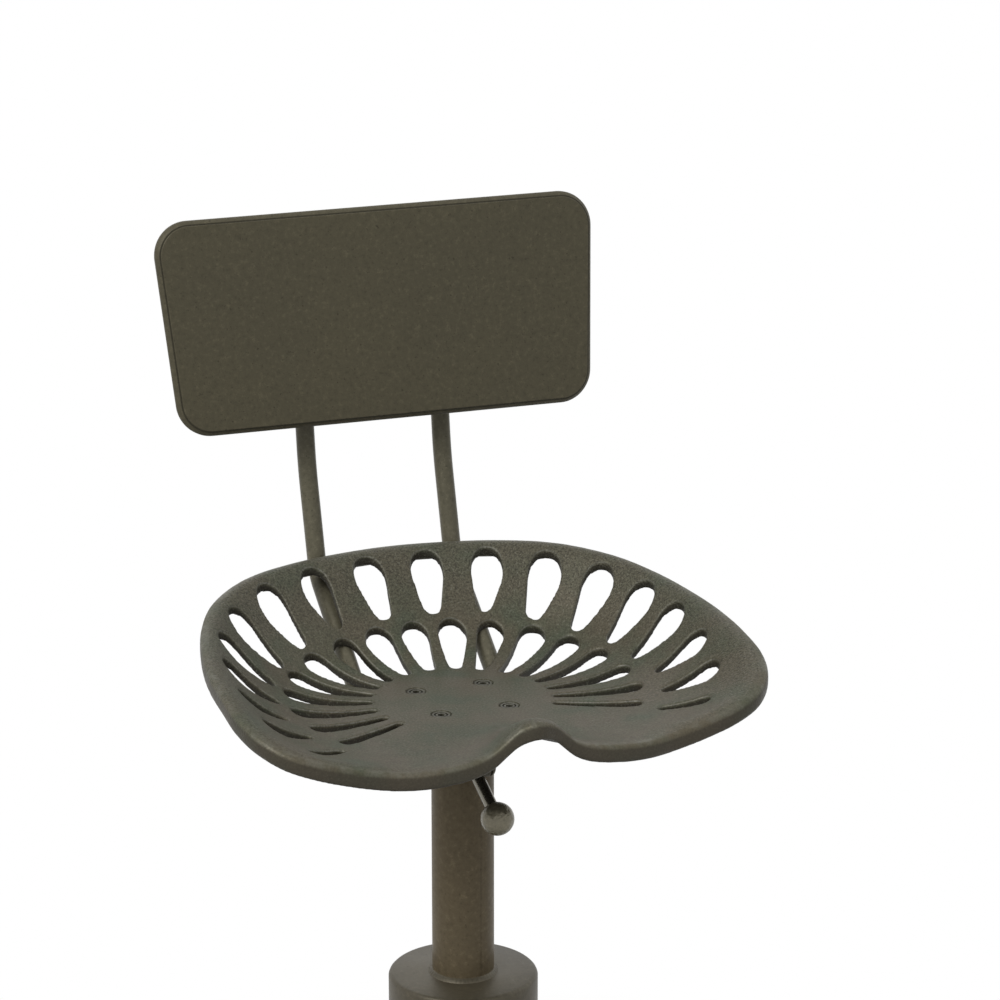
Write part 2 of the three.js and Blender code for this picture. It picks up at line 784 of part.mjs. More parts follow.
function addRetainer() {
  const retainerTop = spindleBottom - gap;
  const retainerBottom = retainerTop - retainerThickness;
  const holeRadius = retainerScrewRadius + screwClearance;
  const washer = sleeve(holeRadius, retainerRadius, retainerBottom, retainerTop);
  addPiece(frame, "retaining_washer", washer, brightSteel);
  const headTop = retainerBottom - gap;
  const head = hexPrism(2 * retainerScrewHeadRadius, headTop - retainerScrewHeadHeight, headTop);
  const shank = disc(retainerScrewRadius, headTop - gap, spindleBottom + retainerScrewLength, boltSteps);
  addPiece(frame, "retaining_screw", join([head, shank]), brightSteel);
}

// Lift tube, which rises until the lower end of its slot meets the stop screw

const liftTubeTop = postTop;
const liftTubeBottom = postBottom + postPlugDepth + liftTubeFootClearance;
const collarBottom = postTop - collarHeight;
const capTop = legTopHeight + gap + capThickness;
const stopScrewHeight = (capTop + collarBottom) / 2 - stopScrewDrop;

function addLift() {
  const tube = sleeve(liftTubeRadius - liftTubeWall, liftTubeRadius, liftTubeBottom, liftTubeTop);
  const slotTop = stopScrewHeight + stopSlotWidth / 2;
  const slotBottom = liftTubeBottom + liftTubeTail;
  const slot = new THREE.BoxGeometry(stopSlotWidth, liftTubeRadius + cutOverrun, slotTop - slotBottom);
  slot.translate(0, (liftTubeRadius + cutOverrun) / 2, (slotTop + slotBottom) / 2);
  addPiece(frame, "lift_tube", cut(tube, [slot]), brightSteel);

  const upper = turned([
    [bushBore, bushTop - bushFlangeThickness - bushDepth],
    [bushBody, bushTop - bushFlangeThickness - bushDepth],
    [bushBody, bushTop - bushFlangeThickness],
    [postRadius, bushTop - bushFlangeThickness],
    [postRadius, bushTop],
    [bushBore, bushTop],
    [bushBore, bushTop - bushFlangeThickness - bushDepth],
  ]);
  addPiece(frame, "upper_bush", upper, nylon);
  const lowerBottom = spindleBottom + gap;
  addPiece(frame, "lower_bush", sleeve(bushBore, bushBody, lowerBottom, lowerBottom + lowerBushDepth), nylon);
}

// Outer post, its end plug and the stop screw

const postBore = postRadius - postWall;

function addPost() {
  const tube = sleeve(postBore, postRadius, postBottom, postTop);
  const slit = new THREE.BoxGeometry(postSlitWidth, postRadius + cutOverrun, postSlitDepth + cutOverrun);
  slit.translate(
    lugMiddle,
    -(postRadius + cutOverrun) / 2,
    postTop - postSlitDepth + (postSlitDepth + cutOverrun) / 2,
  );
  const stopHole = disc(stopScrewRadius + gap, 0, postRadius + cutOverrun, boltSteps);
  stopHole.rotateX(-Math.PI / 2).translate(0, 0, stopScrewHeight);
  addPiece(frame, "post", cut(tube, [slit, stopHole]), steel);

  const plug = turned([
    [0, postBottom - gap - postPlugFlange],
    [postRadius, postBottom - gap - postPlugFlange],
    [postRadius, postBottom - gap],
    [postBore - gap, postBottom - gap],
    [postBore - gap, postBottom + postPlugDepth],
    [0, postBottom + postPlugDepth],
  ]);
  addPiece(frame, "post_plug", plug, nylon);
}

function addStopScrew() {
  const shankStart = liftTubeRadius - liftTubeWall + gap;
  const headStart = postRadius + gap;
  const shank = disc(stopScrewRadius, shankStart, headStart + gap, boltSteps);
  const head = hexPrism(2 * stopScrewHeadRadius, headStart, headStart + stopScrewHeadHeight);
  const screw = join([shank, head]);
  screw.rotateX(-Math.PI / 2).translate(0, 0, stopScrewHeight);
  addPiece(frame, "stop_screw", screw, brightSteel);
}

// Clamp collar with two lugs, and the screw and lever that draw them together. The screw's thread is in
// the right lug.

const collarBore = postRadius + gap;
const collarRadius = collarBore + collarWall;
const pivotHeight = postTop - collarHeight / 2;
const lugInnerFace = lugGap / 2;

function addCollar() {
  const ring = sleeve(collarBore, collarRadius, collarBottom, postTop);
  const lugs = new THREE.Shape();
  const quarter = Math.PI / 2;
  lugs.absarc(pivotReach, 0, lugRadius, -quarter, quarter, false);
  lugs.lineTo(collarBore + collarWall / 2, lugRadius);
  lugs.lineTo(collarBore + collarWall / 2, -lugRadius);
  const width = 2 * lugThickness + lugGap;
  const settings = { depth: width, bevelEnabled: false, curveSegments: cornerHalfSteps };
  const block = new THREE.ExtrudeGeometry(lugs, settings);
  // The outline's X runs forward and its Y up, and the extrusion runs to the right.
  const forward = new THREE.Vector3(0, -1, 0);
  const up = new THREE.Vector3(0, 0, 1);
  block.applyMatrix4(new THREE.Matrix4().makeBasis(forward, up, new THREE.Vector3(-1, 0, 0)));
  block.translate(lugMiddle + width / 2, 0, pivotHeight);
  const split = new THREE.BoxGeometry(lugGap, 2 * pivotReach, collarHeight + 2 * cutOverrun);
  split.translate(lugMiddle, -pivotReach, pivotHeight);
  const bore = disc(collarBore, collarBottom - cutOverrun, postTop + cutOverrun);
  const hole = disc(clampScrewRadius + gap, -2 * width, 2 * width, boltSteps);
  hole.rotateY(Math.PI / 2).translate(lugMiddle, -pivotReach, pivotHeight);
  const relief = disc(leverHubRadius + runningClearance, hubLeft - cutOverrun, lugsLeft);
  relief.rotateY(Math.PI / 2).translate(0, -pivotReach, pivotHeight);
  addPiece(frame, "clamp_collar", cut(join([ring, block]), [bore, split, hole, relief]), steel);
}

const lugsLeft = lugMiddle - lugInnerFace - lugThickness;
const lugsRight = lugMiddle + lugInnerFace + lugThickness;
const hubRight = lugsLeft - gap;
const hubLeft = hubRight - leverHubWidth;
const hubMiddle = (hubLeft + hubRight) / 2;
const screwBoreEnd = hubLeft + leverHubWidth / 3;

function alongClampScrew(geometry) {
  return geometry.rotateY(Math.PI / 2).translate(0, -pivotReach, pivotHeight);
}

function addClampScrew() {
  const screw = disc(clampScrewRadius, screwBoreEnd + gap, lugsRight, boltSteps);
  addPiece(frame, "clamp_screw", alongClampScrew(screw), brightSteel);
}

// Turns a piece built up along +Z so that it runs along the lever, and sets it on the lever's pivot.
function alongLever(geometry) {
  return geometry.rotateX(Math.PI / 2 + leverDroop).translate(hubMiddle, -pivotReach, pivotHeight);
}

function addLever() {
  const screwBore = disc(clampScrewRadius + gap, screwBoreEnd, hubRight + cutOverrun, boltSteps);
  const spigotStart = leverHubRadius - leverSpigotDepth;
  const boreTop = leverHubRadius + cutOverrun;
  const spigotBore = disc(leverSpigotRadius + gap, spigotStart - gap, boreTop, boltSteps);
  const cutters = [alongClampScrew(screwBore), alongLever(spigotBore)];
  const hub = cut(alongClampScrew(disc(leverHubRadius, hubLeft, hubRight)), cutters);
  addPiece(frame, "lever_hub", hub, steel);

  const ballEdge = Math.sqrt(ballRadius ** 2 - leverRodRadius ** 2);
  const rodEnd = leverReach - ballEdge + ballBoreDepth;
  const rod = turned([
    [0, spigotStart],
    [leverSpigotRadius, spigotStart],
    [leverSpigotRadius, leverHubRadius + gap],
    [leverRodRadius, leverHubRadius + gap],
    [leverRodRadius, rodEnd],
    [0, rodEnd],
  ]);
  addPiece(frame, "lever_rod", alongLever(rod), brightSteel);

  const ball = new THREE.SphereGeometry(ballRadius, boltSteps + bendSteps, boltSteps);
  ball.rotateX(Math.PI / 2).translate(0, 0, leverReach);
  const socket = disc(leverRodRadius + gap, leverReach - 2 * ballRadius, rodEnd + gap);
  addPiece(frame, "ball_knob", alongLever(cut(ball, [socket])), steel);
}

// Legs and what joins them

const legTurns = Array.from({ length: legCount }, (_, i) => ((i + 1 / 2) * 2 * Math.PI) / legCount);

function legLine() {
  const points = [
    new THREE.Vector3(legTopReach, 0, legTopHeight),
    new THREE.Vector3(legTopReach, 0, legSplayHeight),
    new THREE.Vector3(legFootReach, 0, legFootHeight),
    new THREE.Vector3(legFootReach, 0, gliderFloor + gap),
  ];
  return bentLine(points, [legBend, legFootBend]);
}

// How far out the leg's middle line is where the foot ring crosses it.
function legReachAt(height) {
  const down = (legSplayHeight - height) / (legSplayHeight - legFootHeight);
  return legTopReach + down * (legFootReach - legTopReach);
}

const legSlope = Math.atan((legFootReach - legTopReach) / (legSplayHeight - legFootHeight));
const ringReach = legReachAt(ringHeight) + (legRadius + ringRadius + gap) / Math.cos(legSlope);

function addLegs() {
  const bar = barAlong(legLine(), legRadius, legRadius - legWall);
  const boltHole = disc(ringBoltRadius + screwClearance, legReachAt(ringHeight), ringReach, boltSteps);
  boltHole.rotateY(Math.PI / 2).translate(0, 0, ringHeight);
  const leg = cut(bar, [boltHole]);
  legTurns.forEach((turn, i) => {
    addPiece(frame, `leg_${i + 1}`, leg, steel).rotation.z = turn;
  });
}

function atLegTops(makeCutter) {
  return legTurns.map((turn) => makeCutter().translate(legTopReach, 0, 0).rotateZ(turn));
}

function addBrackets() {
  const outer = legTopReach + legRadius + gap + capWall;
  const bore = postRadius + gap;
  const under = legTopHeight + gap;
  const cap = turned([
    [bore, under],
    [outer - capWall, under],
    [outer - capWall, under - capDepth],
    [outer, under - capDepth],
    [outer, capTop - capThickness / 2],
    [outer - capThickness / 2, capTop],
    [bore, capTop],
    [bore, under],
  ]);
  addPiece(frame, "leg_cap", cap, steel);

  const plate = sleeve(bore, outer, bracketHeight, bracketHeight + bracketThickness);
  const holeTop = bracketHeight + bracketThickness + cutOverrun;
  const legHole = () => disc(legRadius + gap, bracketHeight - cutOverrun, holeTop, boltSteps);
  addPiece(frame, "leg_bracket", cut(plate, atLegTops(legHole)), steel);
}

function addFootRing() {
  const ring = new THREE.TorusGeometry(ringReach, ringRadius, 2 * bendSteps, ringSteps);
  ring.translate(0, 0, ringHeight);
  const holeStart = ringReach - ringRadius - cutOverrun;
  const holeEnd = ringReach + ringRadius + cutOverrun;
  const holes = legTurns.map((turn) =>
    disc(ringBoltRadius + screwClearance, holeStart, holeEnd, boltSteps)
      .rotateY(Math.PI / 2)
      .translate(0, 0, ringHeight)
      .rotateZ(turn),
  );
  addPiece(frame, "foot_ring", cut(ring, holes), steel);

  const headStart = ringReach + ringRadius + gap;
  const boltStart = ringReach - ringRadius - ringBoltGrip;
  const bolt = turned([
    [0, boltStart],
    [ringBoltRadius, boltStart],
    [ringBoltRadius, headStart],
    [ringBoltHeadRadius, headStart],
    [ringBoltHeadRadius, headStart + ringBoltHeadHeight / 3],
    [ringBoltHeadRadius / 2, headStart + ringBoltHeadHeight],
    [0, headStart + ringBoltHeadHeight],
  ], boltSteps);
  bolt.rotateY(Math.PI / 2).translate(0, 0, ringHeight);
  legTurns.forEach((turn, i) => {
    addPiece(frame, `ring_bolt_${i + 1}`, bolt, brightSteel).rotation.z = turn;
  });
}

function addGliders() {
  const boreRadius = legRadius + gap;
  const glider = turned([
    [0, 0],
    [gliderRadius - gliderEdge, 0],
    [gliderRadius, gliderEdge],
    [gliderRadius, gliderHeight - gliderEdge],
    [gliderRadius - gliderEdge, gliderHeight],
    [boreRadius, gliderHeight],
    [boreRadius, gliderFloor],
    [0, gliderFloor],
  ]);
  legTurns.forEach((turn, i) => {
    const foot = addPiece(frame, `glider_${i + 1}`, glider, rubber);
    foot.position.set(legFootReach * Math.cos(turn), legFootReach * Math.sin(turn), 0);
  });
}

addSeat();
addSeatScrews();
addStrutPlate();
addStrutScrews();
addStruts();
addPanel();
addPanelFixings();
addSwivel();
addRetainer();
addLift();
addPost();
addStopScrew();
addCollar();
addClampScrew();
addLever();
addLegs();
addBrackets();
addFootRing();
addGliders();

export default stool;
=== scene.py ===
import json
import math

import bpy
import numpy as np
from mathutils import Matrix, Vector


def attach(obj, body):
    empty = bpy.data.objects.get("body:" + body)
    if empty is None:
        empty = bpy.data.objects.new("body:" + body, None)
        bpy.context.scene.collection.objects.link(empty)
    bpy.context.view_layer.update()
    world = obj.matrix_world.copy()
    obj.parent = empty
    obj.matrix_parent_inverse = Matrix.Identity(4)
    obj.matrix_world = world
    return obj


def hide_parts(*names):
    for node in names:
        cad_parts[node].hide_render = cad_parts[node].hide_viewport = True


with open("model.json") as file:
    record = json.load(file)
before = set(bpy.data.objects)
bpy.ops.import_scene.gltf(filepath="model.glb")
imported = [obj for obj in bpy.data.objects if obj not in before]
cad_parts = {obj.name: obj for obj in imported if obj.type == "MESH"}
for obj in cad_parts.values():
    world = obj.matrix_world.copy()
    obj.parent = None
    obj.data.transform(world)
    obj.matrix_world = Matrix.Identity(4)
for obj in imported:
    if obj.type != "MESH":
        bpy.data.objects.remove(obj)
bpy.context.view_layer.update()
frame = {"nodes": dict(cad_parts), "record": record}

postY = -0.017
hubZ = 0.6

print("camera")
cameraPlan = {"place": (-0.9231, -2.462, 1.536), "down": 16.6, "turn": -21.31, "lens": 131.4, "sensor": 36}
bpy.ops.object.camera_add(
    location=cameraPlan["place"],
    rotation=(math.radians(90 - cameraPlan["down"]), 0, math.radians(cameraPlan["turn"])),
)
camera = bpy.context.object
camera.data.lens = cameraPlan["lens"]
camera.data.sensor_width = cameraPlan["sensor"]
bpy.context.scene.camera = camera


# Working with objects

def pick(*objects):
    bpy.ops.object.select_all(action="DESELECT")
    for item in objects:
        item.select_set(True)
    bpy.context.view_layer.objects.active = objects[0]
    return objects[0]


def named(name):
    made = bpy.context.object
    made.name = name
    made.data.name = name
    return made


def fromPoints(name, points, edges=(), faces=()):
    mesh = bpy.data.meshes.new(name)
    mesh.from_pydata(points, list(edges), list(faces))
    made = bpy.data.objects.new(name, mesh)
    bpy.context.collection.objects.link(made)
    return pick(made)


# Runs a mesh tool on the whole piece.
def edited(piece, tool, **settings):
    pick(piece)
    bpy.ops.object.mode_set(mode="EDIT")
    bpy.ops.mesh.select_all(action="SELECT")
    tool(**settings)
    bpy.ops.object.mode_set(mode="OBJECT")
    return piece


def outward(piece):
    edited(piece, bpy.ops.mesh.remove_doubles, threshold=1e-6)
    return edited(piece, bpy.ops.mesh.normals_make_consistent, inside=False)


def drawnUp(piece, height):
    edited(piece, bpy.ops.mesh.extrude_region_move, TRANSFORM_OT_translate={"value": (0, 0, height)})
    return outward(piece)


def place(piece, matrix):
    piece.data.transform(matrix)
    piece.data.update()
    return piece


def copied(piece, name, matrix):
    twin = piece.copy()
    twin.data = piece.data.copy()
    twin.name = name
    twin.data.name = name
    bpy.context.collection.objects.link(twin)
    return place(twin, matrix)


def applied(piece, modifier):
    pick(piece)
    bpy.ops.object.modifier_apply(modifier=modifier.name)
    return piece


def bevelled(piece, width, segments=3, angle=40):
    bevel = piece.modifiers.new("bevel", "BEVEL")
    bevel.width = width
    bevel.segments = segments
    bevel.limit_method = "ANGLE"
    bevel.angle_limit = math.radians(angle)
    return applied(piece, bevel)


def combine(piece, other, operation):
    boolean = piece.modifiers.new("combine", "BOOLEAN")
    boolean.operation = operation
    boolean.solver = "EXACT"
    boolean.object = other
    applied(piece, boolean)
    bpy.data.objects.remove(other)
    return piece


def cutFrom(piece, *cutters):
    for cutter in cutters:
        combine(piece, cutter, "DIFFERENCE")
    return piece


# Rebuilds a piece from small even faces, so that its edges can be worn soft.
def weathered(piece, voxel, softness):
    pick(piece)
    piece.data.remesh_voxel_size = voxel
    piece.data.remesh_voxel_adaptivity = 0
    bpy.ops.object.voxel_remesh()
    soften = piece.modifiers.new("soften", "SMOOTH")
    soften.factor = 0.5
    soften.iterations = softness
    return applied(piece, soften)


def joined(name, *pieces):
    pick(*pieces)
    bpy.ops.object.join()
    return named(name)


# Spins a list of (radius, height) round Z.
def spun(name, profile, steps=72):
    points = [(radius, 0, height) for radius, height in profile]
    piece = fromPoints(name, points, [(i, i + 1) for i in range(len(points) - 1)])
    edited(piece, bpy.ops.mesh.spin, steps=steps, angle=2 * math.pi, center=(0, 0, 0), axis=(0, 0, 1))
    return outward(piece)


def rod(name, radius, low, high, steps=48):
    return spun(name, [(0, low), (radius, low), (radius, high), (0, high)], steps)


# A ring of plain section with its outer edges rounded.
def ringOf(name, inner, outer, low, high, edge=0.0006, steps=96):
    return spun(name, [
        (inner, low), (outer - edge, low), (outer - edge * 0.3, low + edge * 0.3), (outer, low + edge),
        (outer, high - edge), (outer - edge * 0.3, high - edge * 0.3), (outer - edge, high), (inner, high),
        (inner, low),
    ], steps)


# Closes a row of outlines, each with as many points, into one piece.
def loft(name, outlines):
    count = len(outlines[0])
    points = [point for outline in outlines for point in outline]
    faces = [range(count), range(len(points) - count, len(points))]
    for ring in range(len(outlines) - 1):
        for i in range(count):
            start, after = ring * count + i, ring * count + (i + 1) % count
            faces.append((start, after, after + count, start + count))
    return outward(fromPoints(name, points, (), faces))


# Stands an outline of (x, y) up along Z.
def prism(name, outline, low, high):
    return drawnUp(fromPoints(name, [(x, y, low) for x, y in outline], (), [range(len(outline))]), high - low)


def hexagon(name, across, low, high):
    corner = across / 2 / math.cos(math.pi / 6)
    turns = [math.pi / 3 * i for i in range(6)]
    return prism(name, [(corner * math.cos(turn), corner * math.sin(turn)) for turn in turns], low, high)


# Corners of a path joined by round bends, as a list of points.
def bentPoints(corners, radii, steps=14):
    points = [Vector(corners[0])]
    for i, radius in enumerate(radii):
        corner = Vector(corners[i + 1])
        before = (Vector(corners[i]) - corner).normalized()
        after = (Vector(corners[i + 2]) - corner).normalized()
        turn = math.pi - before.angle(after)
        reach = radius * math.tan(turn / 2)
        start = corner + before * reach
        inward = (after - before * after.dot(before)).normalized()
        centre = start + inward * radius
        axis = (start - centre).cross(corner + after * reach - centre).normalized()
        for step in range(steps + 1):
            points.append(Matrix.Rotation(turn * step / steps, 3, axis) @ (start - centre) + centre)
    points.append(Vector(corners[-1]))
    return points


# A round bar along a path.
def bar(name, points, radius, closed=False):
    curve = bpy.data.curves.new(name, "CURVE")
    curve.dimensions = "3D"
    curve.bevel_depth = radius
    curve.bevel_resolution = 7
    curve.use_fill_caps = not closed
    spline = curve.splines.new("POLY")
    spline.points.add(len(points) - 1)
    spline.use_cyclic_u = closed
    for target, point in zip(spline.points, points):
        target.co = (*point, 1)
    made = bpy.data.objects.new(name, curve)
    bpy.context.collection.objects.link(made)
    pick(made)
    bpy.ops.object.convert(target="MESH")
    return outward(named(name))


def pointsOf(piece):
    points = np.empty(len(piece.data.vertices) * 3)
    piece.data.vertices.foreach_get("co", points)
    return points.reshape(-1, 3)


# Keeps a value with each point, which a material reads by its name.
def noted(piece, name, values):
    kept = piece.data.attributes.new(name, "FLOAT", "POINT")
    kept.data.foreach_set("value", values.astype(np.float32))


# A domed screw head with a hexagon socket, on a shank that runs down from zero.
def buttonScrew(name, head, height, shank, length):
    screw = spun(name, [
        (0, -length), (shank, -length), (shank, 0), (head * 0.96, 0), (head, height * 0.1),
        (head * 0.97, height * 0.34), (head * 0.86, height * 0.62), (head * 0.68, height * 0.86),
        (head * 0.5, height), (0, height),
    ], 48)
    return cutFrom(screw, hexagon("socket", head * 0.66, height * 0.25, height * 2))


# Shader sums, written as plain arithmetic

class Value:
    def __init__(self, shader, socket):
        self.shader = shader
        self.socket = socket

    def sum(self, operation, *others):
        return self.shader.node("ShaderNodeMath", {"operation": operation}, self, *others)

    def __add__(self, other):
        return self.sum("ADD", other)

    __radd__ = __add__

    def __sub__(self, other):
        return self.sum("SUBTRACT", other)

    def __rsub__(self, other):
        return self.shader.node("ShaderNodeMath", {"operation": "SUBTRACT"}, other, self)

    def __mul__(self, other):
        return self.sum("MULTIPLY", other)

    __rmul__ = __mul__

    def over(self, low, high):
        return self.shader.node(
            "ShaderNodeMapRange", {"interpolation_type": "SMOOTHSTEP"}, self, low, high, 0.0, 1.0
        )


class Shader:
    def __init__(self, owner, surface="Principled BSDF"):
        owner.use_nodes = True
        self.owner = owner
        self.tree = owner.node_tree
        self.surface = self.tree.nodes[surface]

    # Inputs go to the node's sockets in order, and named ones by name.
    def node(self, kind, settings, *inputs, output=0, **namedInputs):
        made = self.tree.nodes.new(kind)
        for key, value in settings.items():
            setattr(made, key, value)
        for key, value in [*enumerate(inputs), *namedInputs.items()]:
            socket = made.inputs[key.replace("_", " ") if isinstance(key, str) else key]
            if isinstance(value, Value):
                self.tree.links.new(value.socket, socket)
            elif value is not None:
                socket.default_value = value
        return Value(self, made.outputs[output])

    def spot(self):
        return self.node("ShaderNodeTexCoord", {}, output="Object")

    def attribute(self, name):
        return self.node("ShaderNodeAttribute", {"attribute_name": name}, output="Fac")

    def noise(self, where, scale, detail=4.0, roughness=0.55):
        return self.node(
            "ShaderNodeTexNoise", {}, Vector=where, Scale=scale, Detail=detail, Roughness=roughness
        )

    def stretch(self, where, scale):
        return self.node("ShaderNodeMapping", {}, Vector=where, Scale=scale)

    def blend(self, share, first, second):
        made = self.tree.nodes.new("ShaderNodeMix")
        made.data_type = "RGBA"
        self.tree.links.new(share.socket, made.inputs[0])
        for value, socket in ((first, made.inputs[6]), (second, made.inputs[7])):
            if isinstance(value, Value):
                self.tree.links.new(value.socket, socket)
            else:
                socket.default_value = (*value, 1)
        return Value(self, made.outputs[2])

    # The rays that see the white background: the camera's, and those off metal or through glass.
    def clearRays(self):
        camera, glossy, through = (
            self.node("ShaderNodeLightPath", {}, output=f"Is {ray} Ray")
            for ray in ("Camera", "Glossy", "Transmission")
        )
        return camera.sum("MAXIMUM", glossy).sum("MAXIMUM", through)

    # Shows one surface or the other, by share.
    def show(self, output, share, first, second):
        mixed = self.node("ShaderNodeMixShader", {}, share, first, second)
        self.tree.links.new(mixed.socket, self.tree.nodes[output].inputs[0])

    def bump(self, height, distance, strength=1.0, under=None):
        return self.node(
            "ShaderNodeBump", {}, Strength=strength, Distance=distance, Height=height, Normal=under
        )

    def finish(self, **sockets):
        for key, value in sockets.items():
            socket = self.surface.inputs[key.replace("_", " ")]
            if isinstance(value, Value):
                self.tree.links.new(value.socket, socket)
            else:
                socket.default_value = value
        return self.owner


def newLook(name):
    return Shader(bpy.data.materials.new(name))


print("materials")


# Satin bronze-grey coat over a cast face: pebbled towards the rim, smoother in the middle, with painted shade
# on the slot walls and the rim's lip, painted light on the raised parts, and paler along the slot edges and
# over the rolled rim. The mesh keeps how far each point lies below the top face.
def castCoat():
    look = {
        "base": (0.079, 0.08, 0.049),
        "green": (0.063, 0.079, 0.049),
        "brown": (0.098, 0.083, 0.054),
        # The raised tone is painted light, laid on the bowl's higher parts.
        "raised": (0.115, 0.113, 0.08),
        "paler": (0.16, 0.158, 0.13),
        "grimeAndShade": (0.012, 0.01, 0.006),
        "lipShade": (0.038, 0.031, 0.02),
    }
    shader = newLook("cast_coat")
    spot = shader.spot()
    below = shader.attribute("below")
    rim = shader.attribute("rim")
    raised = shader.attribute("raised").over(0.006, 0.055)
    patches = shader.noise(spot, 26.0, 3.0)
    stains = shader.noise(spot, 11.0, 4.0, 0.6).over(0.5, 0.68)
    pebbles = shader.noise(spot, 640.0, 1.5, 0.5)
    fine = shader.noise(spot, 1500.0, 1.0)
    worn = shader.noise(spot, 60.0, 4.0, 0.65).over(0.4, 0.62)
    # The slot walls, deeper than the top face's rounded edge, are marked for painted shade, stronger on faces
    # turned down.
    wall = below.over(0.0014, 0.0034) * (1 - rim) * (1 - 0.6 * below.over(0.0072, 0.0079))
    facing = shader.node("ShaderNodeTexCoord", {}, output="Normal")
    downward = shader.node("ShaderNodeSeparateXYZ", {}, facing, output="Z").over(0.15, -0.3)
    speckle = shader.noise(spot, 600.0, 4.0, 0.72)
    brink = below.over(0.0003, 0.0008) * (1 - below.over(0.0011, 0.0018)) * (1 - rim)
    # The rim's lip, below the roll, is marked for painted shade.
    lipShade = rim * below.over(0.002, 0.0045)
    colour = shader.blend(patches.over(0.36, 0.62), look["brown"], look["base"])
    colour = shader.blend(patches.over(0.55, 0.7) * 0.7, colour, look["green"])
    colour = shader.blend(stains * 0.35, colour, look["brown"])
    # Painted light: the raised parts are made paler.
    colour = shader.blend(raised * 0.4, colour, look["raised"])
    colour = shader.blend(pebbles.over(0.52, 0.36) * raised * 0.5, colour, look["grimeAndShade"])
    # Paler along the slot edges, and in patches over the rolled rim.
    colour = shader.blend(brink * (0.5 + 0.5 * worn), colour, look["paler"])
    colour = shader.blend(rim * (1 - lipShade) * worn * 0.4, colour, look["paler"])
    # Painted shade on the rim's lip.
    colour = shader.blend(lipShade * 0.7, colour, look["lipShade"])
    # Painted shade on the slot walls, darker on faces turned down.
    colour = shader.blend(wall * (0.68 + 0.3 * downward), colour, look["grimeAndShade"])
    colour = shader.blend(speckle.over(0.6, 0.3) * (0.6 - 0.3 * rim), colour, look["grimeAndShade"])
    colour = shader.blend(speckle.over(0.54, 0.74) * (0.8 - 0.65 * rim), colour, look["paler"])
    grain = shader.bump(fine, 0.0001, 0.5)
    return shader.finish(
        Base_Color=colour,
        Metallic=0.3,
        Specular_IOR_Level=0.4,
        Roughness=0.42 + 0.12 * patches + 0.12 * wall + 0.06 * raised - 0.08 * worn * rim,
        Normal=shader.bump(pebbles * (0.2 + 0.8 * raised), 0.0008, 0.9, grain),
    )


# Satin dark bronze coat over steel, with dust specks, faint scuffs and rubbed corners.
def steelCoat(name, base, shift=0.0, metal=0.35, roughness=0.42, specky=0.45, shine=0.4, dents=0.0):
    shader = newLook(name)
    spot = shader.spot()
    clouds = shader.noise(spot, 7.0 + shift, 4.0).over(0.3, 0.72)
    specks = shader.noise(spot, 380.0, 3.0, 0.65).over(0.62, 0.72)
    scuffs = shader.noise(shader.stretch(spot, (38.0, 4.0, 12.0)), 6.0, 6.0, 0.7).over(0.6, 0.74)
    grain = shader.noise(spot, 900.0, 2.0)
    mottle = shader.noise(spot, 240.0, 6.0, 0.75)
    paler = shader.node("ShaderNodeNewGeometry", {}, output="Pointiness").over(0.515, 0.6)
    colour = shader.blend(clouds, tuple(share * 0.86 for share in base), base)
    colour = shader.blend(scuffs * 0.22, colour, tuple(share * 1.45 for share in base))
    colour = shader.blend(mottle.over(0.5, 0.24) * 0.8, colour, tuple(share * 0.5 for share in base))
    colour = shader.blend(mottle.over(0.5, 0.76) * 0.8, colour, tuple(share * 1.6 for share in base))
    colour = shader.blend(specks * specky, colour, tuple(share * 0.4 for share in base))
    colour = shader.blend(paler * 0.4, colour, tuple(share * 1.7 for share in base))
    # Painted shade: a dark line along the marked groove, the panel's crease between chamfer and face.
    colour = shader.blend(shader.attribute("groove") * 0.6, colour, tuple(share * 0.2 for share in base))
    fine = shader.bump(grain, 0.00015, 0.35)
    if dents:
        fine = shader.bump(shader.noise(spot, 260.0, 3.0, 0.6), 0.0012, dents, fine)
    return shader.finish(
        Base_Color=colour,
        Metallic=metal,
        Specular_IOR_Level=shine,
        Roughness=roughness + 0.1 * clouds - 0.08 * scuffs + 0.1 * specks,
        Normal=shader.bump(scuffs, 0.0002, 0.15, fine),
    )


def brightSteel():
    shader = newLook("bright_steel_look")
    spot = shader.spot()
    lines = shader.noise(shader.stretch(spot, (4.0, 4.0, 160.0)), 12.0, 3.0)
    tarnish = shader.noise(spot, 26.0, 4.0).over(0.4, 0.75)
    return shader.finish(
        Base_Color=shader.blend(tarnish, (0.34, 0.33, 0.3), (0.2, 0.19, 0.16)),
        Metallic=0.9,
        Roughness=0.24 + 0.12 * lines + 0.12 * tarnish,
        Normal=shader.bump(lines, 0.0001, 0.2),
    )


def bearingBronze():
    shader = newLook("bearing_bronze_look")
    spot = shader.spot()
    tarnish = shader.noise(spot, 40.0, 4.0).over(0.35, 0.7)
    return shader.finish(
        Base_Color=shader.blend(tarnish, (0.42, 0.29, 0.12), (0.24, 0.16, 0.07)),
        Metallic=0.9,
        Roughness=0.34 + 0.16 * tarnish,
        Normal=shader.bump(tarnish, 0.0002, 0.2),
    )


def blackPlastic():
    shader = newLook("bush_plastic_look")
    spot = shader.spot()
    grain = shader.noise(spot, 700.0, 2.0)
    dust = shader.noise(spot, 20.0, 4.0).over(0.5, 0.8)
    return shader.finish(
        Base_Color=shader.blend(dust, (0.012, 0.012, 0.012), (0.03, 0.03, 0.028)),
        Roughness=0.5 + 0.15 * grain,
        Normal=shader.bump(grain, 0.0002, 0.4),
    )


